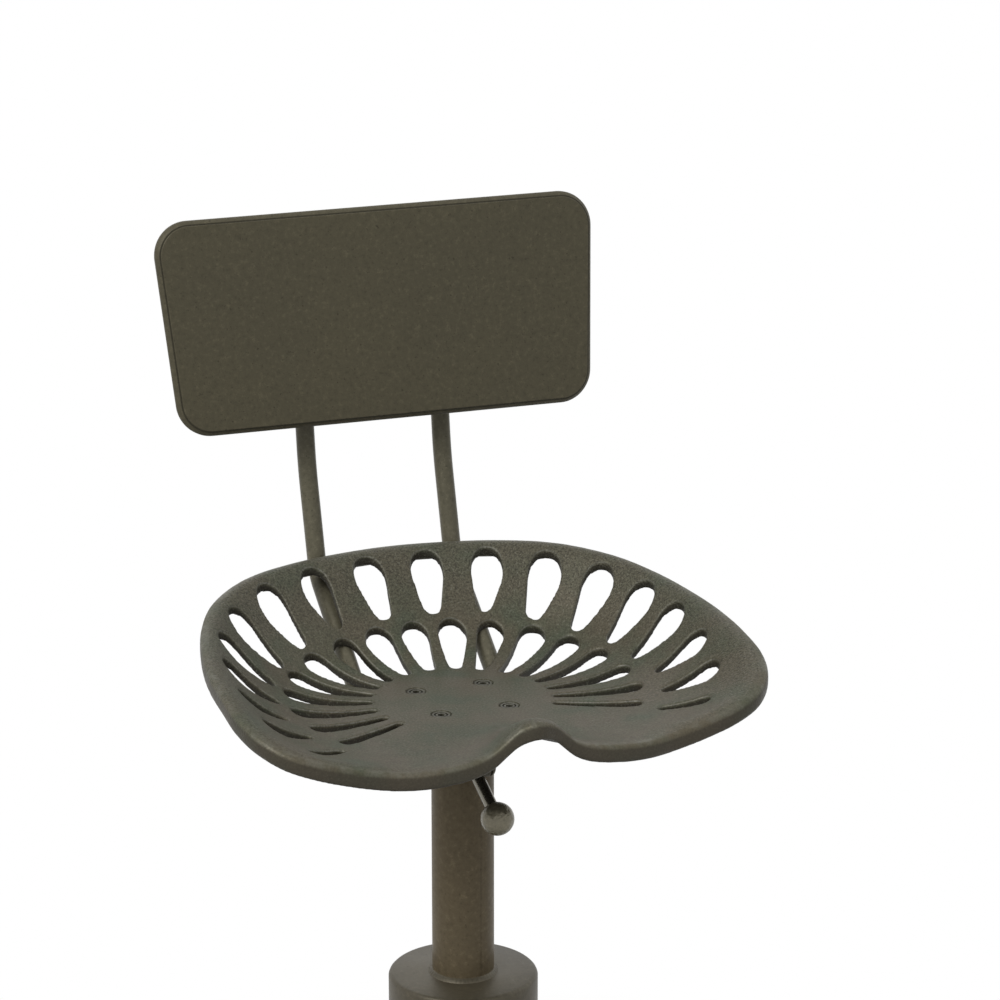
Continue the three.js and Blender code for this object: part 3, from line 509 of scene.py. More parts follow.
def footRubber():
    shader = newLook("foot_rubber_look")
    spot = shader.spot()
    grain = shader.noise(spot, 420.0, 3.0)
    scuff = shader.noise(spot, 34.0, 5.0).over(0.52, 0.72)
    return shader.finish(
        Base_Color=shader.blend(scuff, (0.01, 0.01, 0.011), (0.045, 0.043, 0.04)),
        Roughness=0.72 + 0.16 * grain,
        Normal=shader.bump(grain, 0.0004, 0.5),
    )


# The seat's screws are blackened, with painted shade, near black, in their socket and grooves, which the mesh
# keeps as 1.
def screwCoat():
    shader = newLook("screw_coat")
    spot = shader.spot()
    worn = shader.noise(spot, 160.0, 4.0, 0.6).over(0.35, 0.65)
    grain = shader.noise(spot, 1100.0, 2.0)
    colour = shader.blend(worn, (0.066, 0.062, 0.044), (0.12, 0.116, 0.09))
    return shader.finish(
        # Painted shade, near black, in the marked socket and grooves.
        Base_Color=shader.blend(shader.attribute("groove") * 0.92, colour, (0.006, 0.005, 0.004)),
        Metallic=0.4,
        Specular_IOR_Level=0.4,
        Roughness=0.36 + 0.14 * worn,
        Normal=shader.bump(grain, 0.0001, 0.3),
    )


castLook = castCoat()
panelLook = steelCoat("panel_coat", (0.084, 0.075, 0.048), metal=0.15, roughness=0.5, specky=0.8, shine=0.25)
strutLook = steelCoat(
    "strut_coat", (0.132, 0.122, 0.086), 3.0, metal=0.1, roughness=0.3, specky=0.8, shine=0.15
)
postLook = steelCoat(
    "post_coat", (0.14, 0.112, 0.07), 11.0, metal=0.1, roughness=0.4, specky=0.6, shine=0.15
)
frameLook = steelCoat("frame_coat", (0.08, 0.069, 0.047), 5.0)
screwLook = screwCoat()
leverLook = steelCoat("lever_coat", (0.17, 0.16, 0.13), 6.0, metal=0.85, roughness=0.24)
ballLook = steelCoat(
    "ball_coat", (0.225, 0.203, 0.142), 9.0, roughness=0.22, specky=0.7, shine=0.5, dents=0.9
)
brightLook = brightSteel()
bronzeLook = bearingBronze()
plasticLook = blackPlastic()
rubberLook = footRubber()

looks = {
    "seat_casting": castLook,
    "coated_steel": frameLook,
    "bright_steel": brightLook,
    "bearing_bronze": bronzeLook,
    "bush_plastic": plasticLook,
    "foot_rubber": rubberLook,
}
slots = {part["node"]: part["material_slot"] for part in frame["record"]["subparts"]}
for node, item in frame["nodes"].items():
    item.data.materials.clear()
    item.data.materials.append(looks[slots[node]])


# Finishes a piece and lets it stand for its CAD nodes. The slot's own look is used unless one is given.
def dress(piece, body, *nodes, look=None, slot=None, angle=35):
    slot = slot or slots[nodes[0]]
    pick(piece)
    bpy.ops.object.shade_smooth_by_angle(angle=math.radians(angle))
    piece.data.materials.clear()
    piece.data.materials.append(look or looks[slot])
    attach(piece, body)
    if nodes:
        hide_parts(*nodes)
    return piece


print("seat casting")
seat = {
    "reach": 0.224,
    "rise": 0.075,
    "hub": 0.06,
    "boss": 0.052,
    "bossDepth": 0.012,
    "thickness": 0.008,
    "frontThinning": 0.35,
    "roll": 0.008,
    "squareness": 0.5,
    "lipDepth": 0.0142,
    "lipWall": 0.0065,
    "steps": 288,
    "frontFocus": 0.4,
    "voxel": 0.00135,
    "softness": 12,
    "faces": 190000,
    "cutBelow": 0.03,
    "cutHeight": 0.13,
}
crestTurns = np.pi * np.array([
    0, 0.083, 0.167, 0.25, 0.333, 0.4, 0.467, 0.533, 0.589, 0.633, 0.667,
    0.7, 0.728, 0.756, 0.789, 0.828, 0.872, 0.911, 0.936, 0.953, 0.972, 1,
])
crestReaches = seat["reach"] * np.array([
    0.721, 0.726, 0.752, 0.797, 0.83, 0.842, 0.859, 0.893, 0.933, 0.978, 1,
    0.989, 0.942, 0.868, 0.792, 0.75, 0.708, 0.676, 0.663, 0.661, 0.667, 0.683,
])
crestRises = seat["rise"] * np.array([
    0.973, 0.973, 0.973, 0.953, 0.893, 0.829, 0.764, 0.697, 0.633, 0.553, 0.467,
    0.36, 0.267, 0.167, 0.083, 0.063, 0.083, 0.129, 0.204, 0.301, 0.403, 0.464,
])


# A smooth curve through the crest's points, level at both ends.
def alongCrest(turns, values):
    mirroredTurns = np.concatenate([[-crestTurns[1]], crestTurns, [2 * np.pi - crestTurns[-2]]])
    mirrored = np.concatenate([[values[1]], values, [values[-2]]])
    slopes = (mirrored[2:] - mirrored[:-2]) / (mirroredTurns[2:] - mirroredTurns[:-2])
    left = np.clip(np.searchsorted(crestTurns, turns, side="right") - 1, 0, len(crestTurns) - 2)
    span = crestTurns[left + 1] - crestTurns[left]
    t = (turns - crestTurns[left]) / span
    return (
        (2 * t ** 3 - 3 * t ** 2 + 1) * values[left]
        + (t ** 3 - 2 * t ** 2 + t) * span * slopes[left]
        + (3 * t ** 2 - 2 * t ** 3) * values[left + 1]
        + (t ** 3 - t ** 2) * span * slopes[left + 1]
    )


def roundedMinimum(value):
    return (value + 1 - np.hypot(value - 1, 0.18)) / 2


def frontWeight(turns):
    return ((1 - np.cos(turns)) / 2) ** 16


def bowlHeight(turns, distances):
    reach = alongCrest(turns, crestReaches)
    along = np.clip((distances - seat["hub"]) / (reach - seat["hub"]), 0, 1)
    power = 3.5 - 1.6 * ((1 + np.cos(turns)) / 2) ** 4 - 2 * frontWeight(turns)
    low = roundedMinimum(0.0)
    level = roundedMinimum(1.16 * along ** power)
    return alongCrest(turns, crestRises) * (level - low) / (roundedMinimum(1.16) - low)


# Underside, lip, rolled rim and top face, as (radius, drop) with the bowl left flat.
def seatProfile():
    reach, roll, wall, depth = seat["reach"], seat["roll"], seat["lipWall"], seat["lipDepth"]
    edge = reach + roll
    soft = wall / 3
    profile = [(0, -seat["bossDepth"]), (seat["boss"], -seat["bossDepth"])]
    profile += [(seat["boss"] + 0.002, -seat["thickness"])]
    profile += [(radius, -seat["thickness"]) for radius in np.linspace(seat["hub"], edge - wall - soft, 34)]
    profile += [(edge - wall, -depth + soft), (edge - wall + soft, -depth), (edge - soft, -depth)]
    profile += [(edge, -depth + soft)]
    for share in np.linspace(1, 0, 13):
        angle = share * math.pi / 2
        out, up = math.sin(angle) ** seat["squareness"], math.cos(angle) ** seat["squareness"]
        profile.append((reach + roll * out, roll * (up - 1)))
    profile += [(radius, 0) for radius in np.linspace(reach, 0.03, 50)[1:]]
    profile += [(0, 0)]
    return profile


def shapeSeat(piece):
    points = pointsOf(piece)
    nominal = np.hypot(points[:, 0], points[:, 1])
    even = np.arctan2(points[:, 0], points[:, 1])
    turns = even + seat["frontFocus"] * np.sin(even)
    reach = alongCrest(np.abs(turns), crestReaches)
    share = np.minimum(nominal / seat["reach"], 1)
    past = np.maximum(nominal - seat["reach"], 0)
    distances = np.where(nominal > seat["boss"], share * reach + past, nominal)
    heights = bowlHeight(np.abs(turns), np.minimum(distances, reach))
    isPan = (nominal > seat["boss"]) & (nominal < seat["reach"])
    thinning = np.where(isPan, seat["frontThinning"] * frontWeight(turns), 0)
    points[:, 0] = distances * np.sin(turns)
    points[:, 1] = distances * np.cos(turns) + postY
    points[:, 2] = points[:, 2] * (1 - thinning) + heights + hubZ
    piece.data.vertices.foreach_set("co", points.ravel())
    piece.data.update()


# Turn from the back, inner end, outer end, and the half widths at those ends, as shares.
outerSlots = [
    (0.053, 0.529, 0.7, 0.034, 0.057),
    (0.157, 0.562, 0.725, 0.029, 0.056),
    (0.25, 0.594, 0.77, 0.033, 0.059),
    (0.335, 0.616, 0.804, 0.029, 0.059),
    (0.413, 0.632, 0.821, 0.029, 0.057),
    (0.485, 0.638, 0.833, 0.023, 0.055),
    (0.557, 0.67, 0.85, 0.019, 0.05),
    (0.624, 0.674, 0.87, 0.018, 0.047),
    (0.692, 0.674, 0.853, 0.015, 0.027),
]
innerSlots = [
    (0, 0.304, 0.511, 0.023, 0.048),
    (0.092, 0.304, 0.522, 0.021, 0.05),
    (0.179, 0.304, 0.545, 0.02, 0.046),
    (0.266, 0.304, 0.58, 0.019, 0.048),
    (0.344, 0.304, 0.598, 0.018, 0.045),
    (0.422, 0.304, 0.607, 0.018, 0.042),
    (0.506, 0.306, 0.612, 0.016, 0.038),
    (0.586, 0.308, 0.616, 0.015, 0.031),
    (0.661, 0.308, 0.612, 0.014, 0.025),
]


def slotOutline(slot, side):
    turn, inner, outer, innerWidth, outerWidth = slot
    reach = seat["reach"]
    innerRadius, outerRadius = innerWidth * reach, outerWidth * reach
    near, far = inner * reach + innerRadius, outer * reach - outerRadius
    flare = math.asin((outerRadius - innerRadius) / (far - near))
    heading = math.pi / 2 - side * turn * math.pi
    outline = []
    for middle, radius, start in ((far, outerRadius, 0.0), (near, innerRadius, math.pi)):
        half = math.pi / 2 + (flare if start == 0 else -flare)
        for step in range(15):
            angle = start + half * (step / 7 - 1)
            x = middle + radius * math.cos(angle)
            y = radius * math.sin(angle)
            outline.append((
                x * math.cos(heading) - y * math.sin(heading),
                x * math.sin(heading) + y * math.cos(heading) + postY,
            ))
    return outline


def slotCutters():
    points, faces = [], []
    for slot in outerSlots + innerSlots:
        for side in (1, -1) if slot[0] else (1,):
            outline = slotOutline(slot, side)
            faces.append(range(len(points), len(points) + len(outline)))
            points += [(x, y, hubZ - seat["cutBelow"]) for x, y in outline]
    return drawnUp(fromPoints("slot_cutters", points, (), faces), seat["cutHeight"])


# Keeps with each point how far it lies below the top face, past the crest and above the hub.
def noteDepth(piece):
    points = pointsOf(piece)
    turns = np.abs(np.arctan2(points[:, 0], points[:, 1] - postY))
    distances = np.hypot(points[:, 0], points[:, 1] - postY)
    reach = alongCrest(turns, crestReaches)
    heights = bowlHeight(turns, np.minimum(distances, reach))
    noted(piece, "below", heights + hubZ - points[:, 2])
    noted(piece, "rim", np.clip((distances - reach) / (seat["roll"] / 2), 0, 1))
    noted(piece, "raised", points[:, 2] - hubZ)


pan = spun("seat_casting", seatProfile(), seat["steps"])
shapeSeat(pan)
cutFrom(pan, slotCutters())
weathered(pan, seat["voxel"], seat["softness"])
pan.data.calc_loop_triangles()
if len(pan.data.loop_triangles) > seat["faces"]:
    thin = pan.modifiers.new("thin", "DECIMATE")
    thin.ratio = seat["faces"] / len(pan.data.loop_triangles)
    applied(pan, thin)

seatScrews = {
    "spread": 0.0275,
    "sink": 0.0081,
    "head": 0.007,
    "dish": 0.0054,
    "shank": 0.004,
    "cone": 0.0046,
    "recess": 0.0004,
    "tip": -0.0236,
    "hex": 0.0052,
    "hexDepth": 0.003,
    "hole": 0.0046,
    "through": 0.02,
    "above": 0.003,
}
corners = [("front_left", -1, -1), ("front_right", 1, -1), ("back_left", -1, 1), ("back_right", 1, 1)]


def atScrew(x, y):
    return Matrix.Translation((x * seatScrews["spread"], y * seatScrews["spread"] + postY, hubZ))


sinkEdge, hole, above = seatScrews["sink"], seatScrews["hole"], seatScrews["above"]
sink = spun("sink", [
    (0, -seatScrews["through"]), (hole, -seatScrews["through"]), (hole, -0.0052),
    (sinkEdge - 0.0005, -0.0021), (sinkEdge, -0.0003), (sinkEdge + 0.001, above), (0, above),
], 48)
cutFrom(pan, joined("sinks", *[copied(sink, "sink_" + corner, atScrew(x, y)) for corner, x, y in corners]))
bpy.data.objects.remove(sink)
noteDepth(pan)
dress(pan, "seat", "seat_pan", angle=42)

print("seat screws")
for corner, x, y in corners:
    top, head, dish = -seatScrews["recess"], seatScrews["head"], seatScrews["dish"]
    tip, shank = seatScrews["tip"], seatScrews["shank"]
    screw = spun("seat_screw_head_" + corner, [
        (0, tip), (shank, tip), (shank, top - seatScrews["cone"]),
        (head, top - 0.0009), (head, top - 0.0003), (head - 0.0003, top), (dish, top),
        (dish - 0.0002, top - 0.0009), (dish - 0.0011, top - 0.0009), (dish - 0.0013, top - 0.0002),
        (0, top - 0.0002),
    ], 48)
    cutFrom(screw, hexagon("socket", seatScrews["hex"], top - seatScrews["hexDepth"], top + above))
    # Points below the head's top, the socket and ring groove among them, are marked for painted shade.
    noted(screw, "groove", pointsOf(screw)[:, 2] < top - 0.0005)
    place(screw, atScrew(x, y))
    dress(screw, "seat", "seat_screw_" + corner, look=screwLook)

print("backrest")
panel = {
    "top": 0.3635,
    "bottom": 0.3408,
    "height": 0.168,
    "depth": 0.012,
    "corner": 0.027,
    "chamfer": 0.0042,
    "crease": 0.00145,
    "slew": 0.0023,
    "upperSlew": 0.0005,
    "tilt": 0.0009,
    "sheet": 0.0025,
    "lean": math.radians(7.7),
    "footBack": 0.1605,
    "footRise": 0.178,
}
panelFoot = Vector((0, panel["footBack"] + postY, hubZ + panel["footRise"]))
panelUp = Vector((0, math.sin(panel["lean"]), math.cos(panel["lean"])))
panelBack = Vector((0, math.cos(panel["lean"]), -math.sin(panel["lean"])))


# From the panel's own X, up and back directions to its place.
def onPanel():
    turn = Matrix((
        (-1, 0, 0),
        (0, panelUp.y, panelBack.y),
        (0, panelUp.z, panelBack.z),
    )).to_4x4()
    return Matrix.Translation(panelFoot) @ turn


# The panel's outline drawn in from its full size.
def panelOutline(inward, steps=20):
    low, high = panel["bottom"] / 2 - inward, panel["top"] / 2 - inward
    height = panel["height"] - 2 * inward
    corner = panel["corner"] - inward
    lean = math.atan((high - low) / height)
    inset = corner / math.cos(lean)
    lowX = low + corner * math.tan(lean) - inset
    highX = high - corner * math.tan(lean) - inset
    half = math.pi / 2
    arcs = [
        (lowX, corner, -half, -lean),
        (highX, height - corner, -lean, half),
        (-highX, height - corner, half, 2 * half + lean),
        (-lowX, corner, 2 * half + lean, 3 * half),
    ]
    outline = []
    for x, y, start, end in arcs:
        for step in range(steps + 1):
            angle = start + (end - start) * step / steps
            outline.append((x + corner * math.cos(angle), y + corner * math.sin(angle) + inward))
    return outline


# Pocket floor, turned-in edge, side, chamfer, a fine crease and the front face, as (inward, back).
def panelRings():
    chamfer, sheet, depth = panel["chamfer"], panel["sheet"], panel["depth"]
    pocket = chamfer + sheet
    return [
        (pocket + 0.0008, sheet), (pocket, sheet + 0.0008), (pocket, depth - 0.0006),
        (pocket - 0.0006, depth), (chamfer + 0.0004, depth), (chamfer - 0.0006, depth - 0.0004),
        (0.0006, depth - chamfer + 0.0004), (0, depth - chamfer - 0.0006),
        (0, chamfer + 0.0004), (0.0004, chamfer - 0.0003), (chamfer - 0.0016, 0.0016),
        (chamfer - 0.0013, panel["crease"]), (chamfer - 0.0005, panel["crease"]),
        (chamfer - 0.0002, 0.0003), (chamfer + 0.0002, 0.0),
    ]


board = loft("backrest_board", [
    [(x, y, back) for x, y in panelOutline(inward)] for inward, back in panelRings()
])
points = pointsOf(board)
# The crease's points are marked for a painted shade line.
noted(board, "groove", np.abs(points[:, 2] - panel["crease"]) < 1e-5)
# The sheet was folded a little out of square: its lower edge sits to the right and not quite level.
low = 1 - points[:, 1] / panel["height"]
points[:, 1] += panel["tilt"] * low * points[:, 0] / (panel["bottom"] / 2)
points[:, 0] += panel["upperSlew"] * (1 - low) - panel["slew"] * low
board.data.vertices.foreach_set("co", points.ravel())
place(board, onPanel())
dress(board, "seat", "backrest_panel", look=panelLook, angle=30)

print("struts")
strut = {
    "radius": 0.0074,
    "spacing": 0.114,
    "corners": [(-0.0342, -0.025), (0.063, -0.025), (0.1715, 0.0538)],
    "bends": [0.06, 0.03, 0.222],
    "flat": [(-0.05, -0.04), (-0.014, -0.04), (-0.019, -0.0286), (-0.05, -0.0286)],
    "endBevel": 0.0045,
    "standoff": 0.04,
    "rises": (0.137, 0.322),
    "across": 0.02,
    "gap": 0.0002,
}
lineFoot = Vector((0, panel["footBack"], panel["footRise"])) + panelBack * strut["standoff"]
strutCorners = [(0, y, z) for y, z in strut["corners"]]
for rise in strut["rises"]:
    strutCorners.append(lineFoot + panelUp * ((rise - lineFoot.z) / panelUp.z))
# The flat under the strut's front end is drawn in Y and Z and stands along X.
flatTurn = Matrix(((0, 0, 1, 0), (1, 0, 0, 0), (0, 1, 0, 0), (0, 0, 0, 1)))
for name, side in (("left", -1), ("right", 1)):
    piece = bar("strut_bar_" + name, bentPoints(strutCorners, strut["bends"]), strut["radius"])
    bevelled(piece, strut["endBevel"], 4, 60)
    cutFrom(piece, place(prism("end_flat", strut["flat"], -strut["across"], strut["across"]), flatTurn))
    place(piece, Matrix.Translation((side * strut["spacing"] / 2, postY, hubZ)))
    dress(piece, "seat", "back_strut_" + name, look=strutLook)

print("backrest fixings")
fixing = {
    "radius": 0.011,
    "start": 0.0028,
    "end": 0.04,
    "head": 0.0065,
    "headHeight": 0.0036,
    "shank": 0.003,
    "grip": 0.018,
    "rises": {"lower": 0.038, "upper": 0.138},
}


def onPanelAxis(side, upPanel):
    point = panelFoot + panelUp * upPanel
    point.x = side * strut["spacing"] / 2
    return Matrix.Translation(point) @ Matrix.Rotation(-math.pi / 2 - panel["lean"], 4, "X")


standoff = spun("standoff", [
    (0, fixing["start"]), (fixing["radius"], fixing["start"]), (fixing["radius"], fixing["start"] + 0.002),
    (fixing["radius"] - 0.0012, fixing["start"] + 0.0032), (fixing["radius"] - 0.0012, fixing["end"]),
    (0, fixing["end"]),
])
saddle = rod("saddle", strut["radius"] + strut["gap"], -strut["across"], strut["across"])
place(saddle, Matrix.Translation((0, 0, fixing["end"])) @ Matrix.Rotation(math.pi / 2, 4, "X"))
cutFrom(standoff, saddle)
headStart = fixing["end"] + strut["radius"] + strut["gap"]
backBolt = buttonScrew(
    "back_bolt", fixing["head"], fixing["headHeight"], fixing["shank"], strut["radius"] + fixing["grip"]
)
place(backBolt, Matrix.Translation((0, 0, headStart)))
for sideName, side in (("left", -1), ("right", 1)):
    for riseName, rise in fixing["rises"].items():
        ending = riseName + "_" + sideName
        where = onPanelAxis(side, rise)
        spacer = copied(standoff, "standoff_" + ending, where)
        dress(spacer, "seat", "back_standoff_" + ending, look=strutLook)
        dress(copied(backBolt, "bolt_" + ending, where), "seat", "back_bolt_" + ending)
bpy.data.objects.remove(standoff)
bpy.data.objects.remove(backBolt)

print("plate and swivel")
swivel = {
    "plateTop": -0.0123,
    "plate": (0.138, 0.084, 0.005),
    "plateCorner": 0.01,
    "flange": 0.048,
    "flangeTop": -0.0176,
    "flangeBottom": -0.0256,
    "bore": 0.0103,
    "washer": (0.0104, 0.024, 0.5726, 0.5741),
    "hole": 0.0045,
    "through": 0.05,
}
width, depth, thickness = swivel["plate"]
rounding = swivel["plateCorner"]
plateOutline = []
for x, y, start in ((1, -1, -0.5), (1, 1, 0), (-1, 1, 0.5), (-1, -1, 1)):
    for step in range(13):
        angle = math.pi * (start + step / 24)
        plateOutline.append((
            x * (width / 2 - rounding) + rounding * math.cos(angle),
            y * (depth / 2 - rounding) + rounding * math.sin(angle),
        ))
plate = prism("strut_plate_sheet", plateOutline, swivel["plateTop"] - thickness, swivel["plateTop"])
place(plate, Matrix.Translation((0, postY, hubZ)))
onPost = Matrix.Translation((0, postY, 0))
low, high = hubZ + swivel["flangeBottom"], hubZ + swivel["flangeTop"]
flange = ringOf("swivel_disc", swivel["bore"], swivel["flange"], low, high, 0.0012)
place(flange, onPost)
for _, x, y in corners:
    for piece in (plate, flange):
        hole = rod("hole", swivel["hole"], -swivel["through"], swivel["through"])
        cutFrom(piece, place(hole, atScrew(x, y)))
dress(bevelled(plate, 0.0007, 2, 60), "seat", "strut_plate")
dress(flange, "seat", "swivel_flange")

inner, outer, low, high = swivel["washer"]
washer = ringOf("thrust_ring", inner, outer, low, high, 0.0003)
dress(place(washer, onPost), "seat", "thrust_washer")

bushing = {
    "bore": 0.0104, "skirt": 0.0179, "flange": 0.024, "edge": 0.0004,
    "low": 0.5378, "shoulder": 0.5698, "top": 0.5723,
}
bore, skirt, rim, edge = bushing["bore"], bushing["skirt"], bushing["flange"], bushing["edge"]
low, shoulder, top = bushing["low"], bushing["shoulder"], bushing["top"]
bush = spun("bush_moulding", [
    (bore, low), (skirt - edge, low), (skirt, low + edge), (skirt, shoulder), (rim - edge, shoulder),
    (rim, shoulder + edge), (rim, top - edge), (rim - edge, top), (bore, top), (bore, low),
], 96)
dress(place(bush, onPost), "lift", "upper_bush")

print("post")
post = {
    "radius": 0.024,
    "bore": 0.0216,
    "bottom": 0.215,
    "top": 0.5695,
    "slit": (0.00625, 0.0024, 0.026),
    "stopHeight": 0.46,
    "stopHole": 0.0043,
    "reach": 0.03,
    "lift": 0.0212,
    "liftBore": 0.0182,
    "liftBottom": 0.2495,
    "liftSlot": (0.009, 0.2775, 0.4645),
}
tube = ringOf("post_tube", post["bore"], post["radius"], post["bottom"], post["top"])
slitMiddle, slitWidth, slitDepth = post["slit"]
slitSide = [(slitMiddle - slitWidth / 2, 0), (slitMiddle - slitWidth / 2, -post["reach"])]
slitSide += [(slitMiddle + slitWidth / 2, -post["reach"]), (slitMiddle + slitWidth / 2, 0)]
cutFrom(tube, prism("slit", slitSide, post["top"] - slitDepth, post["top"] + 0.003))
acrossBack = Matrix.Translation((0, 0, post["stopHeight"])) @ Matrix.Rotation(-math.pi / 2, 4, "X")
cutFrom(tube, place(rod("stop_hole", post["stopHole"], 0, post["reach"]), acrossBack))
dress(place(tube, onPost), "base", "post", look=postLook)

liftTube = ringOf("lift_pipe", post["liftBore"], post["lift"], post["liftBottom"], post["top"])
slotWidth, slotLow, slotHigh = post["liftSlot"]
slotSide = [(-slotWidth / 2, 0), (slotWidth / 2, 0)]
slotSide += [(slotWidth / 2, post["reach"]), (-slotWidth / 2, post["reach"])]
cutFrom(liftTube, prism("slot", slotSide, slotLow, slotHigh))
dress(place(liftTube, onPost), "lift", "lift_tube")

footPlug = {"flange": 0.024, "stem": 0.0213, "low": 0.2117, "shoulder": 0.2147, "top": 0.229, "edge": 0.0004}
rim, stem, edge = footPlug["flange"], footPlug["stem"], footPlug["edge"]
low, shoulder, top = footPlug["low"], footPlug["shoulder"], footPlug["top"]
plug = spun("plug_moulding", [
    (0, low), (rim - 0.0015, low), (rim, low + 0.0013), (rim, shoulder - edge), (rim - edge, shoulder),
    (stem, shoulder), (stem, top - 0.0005), (stem - 0.0005, top), (0, top),
])
dress(place(plug, onPost), "base", "post_plug")

stop = {"across": 0.014, "head": (0.0243, 0.0293), "radius": 0.004, "shank": (0.0185, 0.025), "edge": 0.0009}
stopScrew = bevelled(hexagon("stop_screw_head", stop["across"], *stop["head"]), stop["edge"], 2, 50)
combine(stopScrew, rod("shank", stop["radius"], *stop["shank"]), "UNION")
dress(place(stopScrew, onPost @ acrossBack), "base", "stop_screw")

print("clamp")
clamp = {
    "bore": 0.0243,
    "outer": 0.0293,
    "low": 0.5493,
    "high": 0.5695,
    "pivot": 0.038,
    "height": 0.5594,
    "lugs": [(0, 0.0094), (0.0074, 0.0094), (0.0088, 0.0089), (0.0096, 0.008), (0.01, 0.0066)],
    "root": 0.0268,
    "split": (0.0055, 0.007),
    "splitReach": 0.06,
    "cut": (0.54, 0.58),
    "relief": (0.0098, -0.016, -0.00012),
    "screw": 0.004,
    "clearance": 0.0003,
    "through": 0.02,
    "voxel": 0.00055,
}
collar = ringOf("collar_forging", clamp["bore"] - 0.0005, clamp["outer"], clamp["low"], clamp["high"], 0.001)


def lugOutline(x, radius):
    turns = [math.pi * (step / 24 - 0.5) for step in range(25)]
    around = [(clamp["pivot"] + radius * math.cos(turn), radius * math.sin(turn), x) for turn in turns]
    return [(clamp["root"], -radius, x), *around, (clamp["root"], radius, x)]


# The lugs are drawn forward and up, and stand along X.
alongScrew = Matrix.Translation((0, 0, clamp["height"])) @ Matrix((
    (0, 0, 1, 0),
    (-1, 0, 0, 0),
    (0, 1, 0, 0),
    (0, 0, 0, 1),
))
lugs = loft("lugs", [lugOutline(x, radius) for x, radius in clamp["lugs"]])
combine(collar, outward(place(lugs, alongScrew)), "UNION")
atPivot = Matrix.Translation((0, -clamp["pivot"], clamp["height"])) @ Matrix.Rotation(math.pi / 2, 4, "Y")
screwRoom = clamp["screw"] + clamp["clearance"]
cutFrom(
    collar,
    rod("bore", clamp["bore"], *clamp["cut"], 96),
    place(rod("relief", *clamp["relief"]), atPivot),
    place(rod("screw_hole", screwRoom, -clamp["through"], clamp["through"]), atPivot),
)
low, high = clamp["split"]
splitSide = [(low, 0), (low, -clamp["splitReach"]), (high, -clamp["splitReach"]), (high, 0)]
cutFrom(collar, prism("split", splitSide, *clamp["cut"]))
weathered(collar, clamp["voxel"], 3)
dress(place(collar, onPost), "base", "clamp_collar", angle=50)

stud = {"start": -0.0084, "end": 0.0095, "edge": (0.0004, 0.0005), "hex": 0.004, "socket": (0.0064, 0.012)}
inset, bevel = stud["edge"]
screw = spun("clamp_stud", [
    (0, stud["start"]), (clamp["screw"], stud["start"]), (clamp["screw"], stud["end"] - bevel),
    (clamp["screw"] - inset, stud["end"]), (0, stud["end"]),
], 48)
cutFrom(screw, hexagon("socket", stud["hex"], *stud["socket"]))
dress(place(screw, onPost @ atPivot), "clamp_lever", "clamp_screw")

print("clamp lever")
lever = {
    "middle": -0.0066,
    "droop": math.radians(24),
    "hub": 0.0094,
    "hubWidth": 0.0126,
    "reach": 0.0574,
    "rod": 0.00495,
    "ball": 0.0126,
}
half = lever["hubWidth"] / 2
boss = spun("lever_boss", [
    (0, -half), (0.0066, -half), (0.0082, -half + 0.0004), (lever["hub"], -half + 0.0018),
    (lever["hub"], half - 0.001), (lever["hub"] - 0.001, half), (0, half),
], 96)
place(boss, onPost @ Matrix.Translation((lever["middle"], 0, 0)) @ atPivot)
dress(boss, "clamp_lever", "lever_hub", angle=30)

alongLever = (
    onPost
    @ Matrix.Translation((lever["middle"], -clamp["pivot"], clamp["height"]))
    @ Matrix.Rotation(math.pi / 2 + lever["droop"], 4, "X")
)
rodStart, rodEnd = lever["hub"] - 0.001, lever["reach"] - 0.007
handle = spun("lever_handle", [
    (0, rodStart), (lever["rod"] - 0.0006, rodStart), (lever["rod"] - 0.0006, rodStart + 0.0022),
    (lever["rod"], rodStart + 0.003), (lever["rod"], rodEnd), (0, rodEnd),
], 96)
dress(place(handle, alongLever), "clamp_lever", "lever_rod", look=leverLook)

# The ball is drawn out a little towards the rod, and has a small turned flat at its far end.
ballProfile = [(0, lever["ball"] * 0.995)]
for step in range(40):
    angle = math.pi * (0.04 + 0.8 * step / 39)
    ballProfile.append((lever["ball"] * math.sin(angle), lever["ball"] * math.cos(angle)))
ballProfile += [(0.0058, -lever["ball"] * 0.91), (0.0052, -lever["ball"] * 0.97), (0, -lever["ball"] * 0.97)]
ball = spun("lever_ball", ballProfile, 96)
place(ball, alongLever @ Matrix.Translation((0, 0, lever["reach"])))
dress(ball, "clamp_lever", "ball_knob", look=ballLook, angle=40)

print("legs")
legs = {
    "radius": 0.0127,
    "root": 0.042,
    "reach": 0.2548,
    "top": 0.372,
    "shoulder": 0.29,
    "ankle": 0.052,
    "foot": 0.0073,
    "bends": [0.06, 0.045],
    "turns": [math.pi / 4 + math.pi / 2 * i for i in range(4)],
}
legCorners = [
    (legs["root"], 0, legs["top"]), (legs["root"], 0, legs["shoulder"]),
    (legs["reach"], 0, legs["ankle"]), (legs["reach"], 0, legs["foot"]),
]
turned = [onPost @ Matrix.Rotation(turn, 4, "Z") for turn in legs["turns"]]
leg = bar("leg", bentPoints(legCorners, legs["bends"], 18), legs["radius"])
rubber = {"radius": 0.0165, "bore": 0.013, "height": 0.026, "sole": 0.007, "groove": 0.0085}
outer, inner, height = rubber["radius"], rubber["bore"], rubber["height"]
groove, sole = rubber["groove"], rubber["sole"]
glider = spun("glider", [
    (0, 0), (outer - 0.0027, 0), (outer - 0.0013, 0.0005), (outer - 0.0002, 0.0016), (outer, 0.003),
    (outer, groove - 0.001), (outer - 0.0004, groove - 0.0004), (outer - 0.0004, groove + 0.0004),
    (outer, groove + 0.001), (outer, height - 0.0015), (outer - 0.0003, height - 0.0005),
    (outer - 0.0011, height), (inner + 0.0006, height), (inner, height - 0.0006), (inner, sole), (0, sole),
], 96)
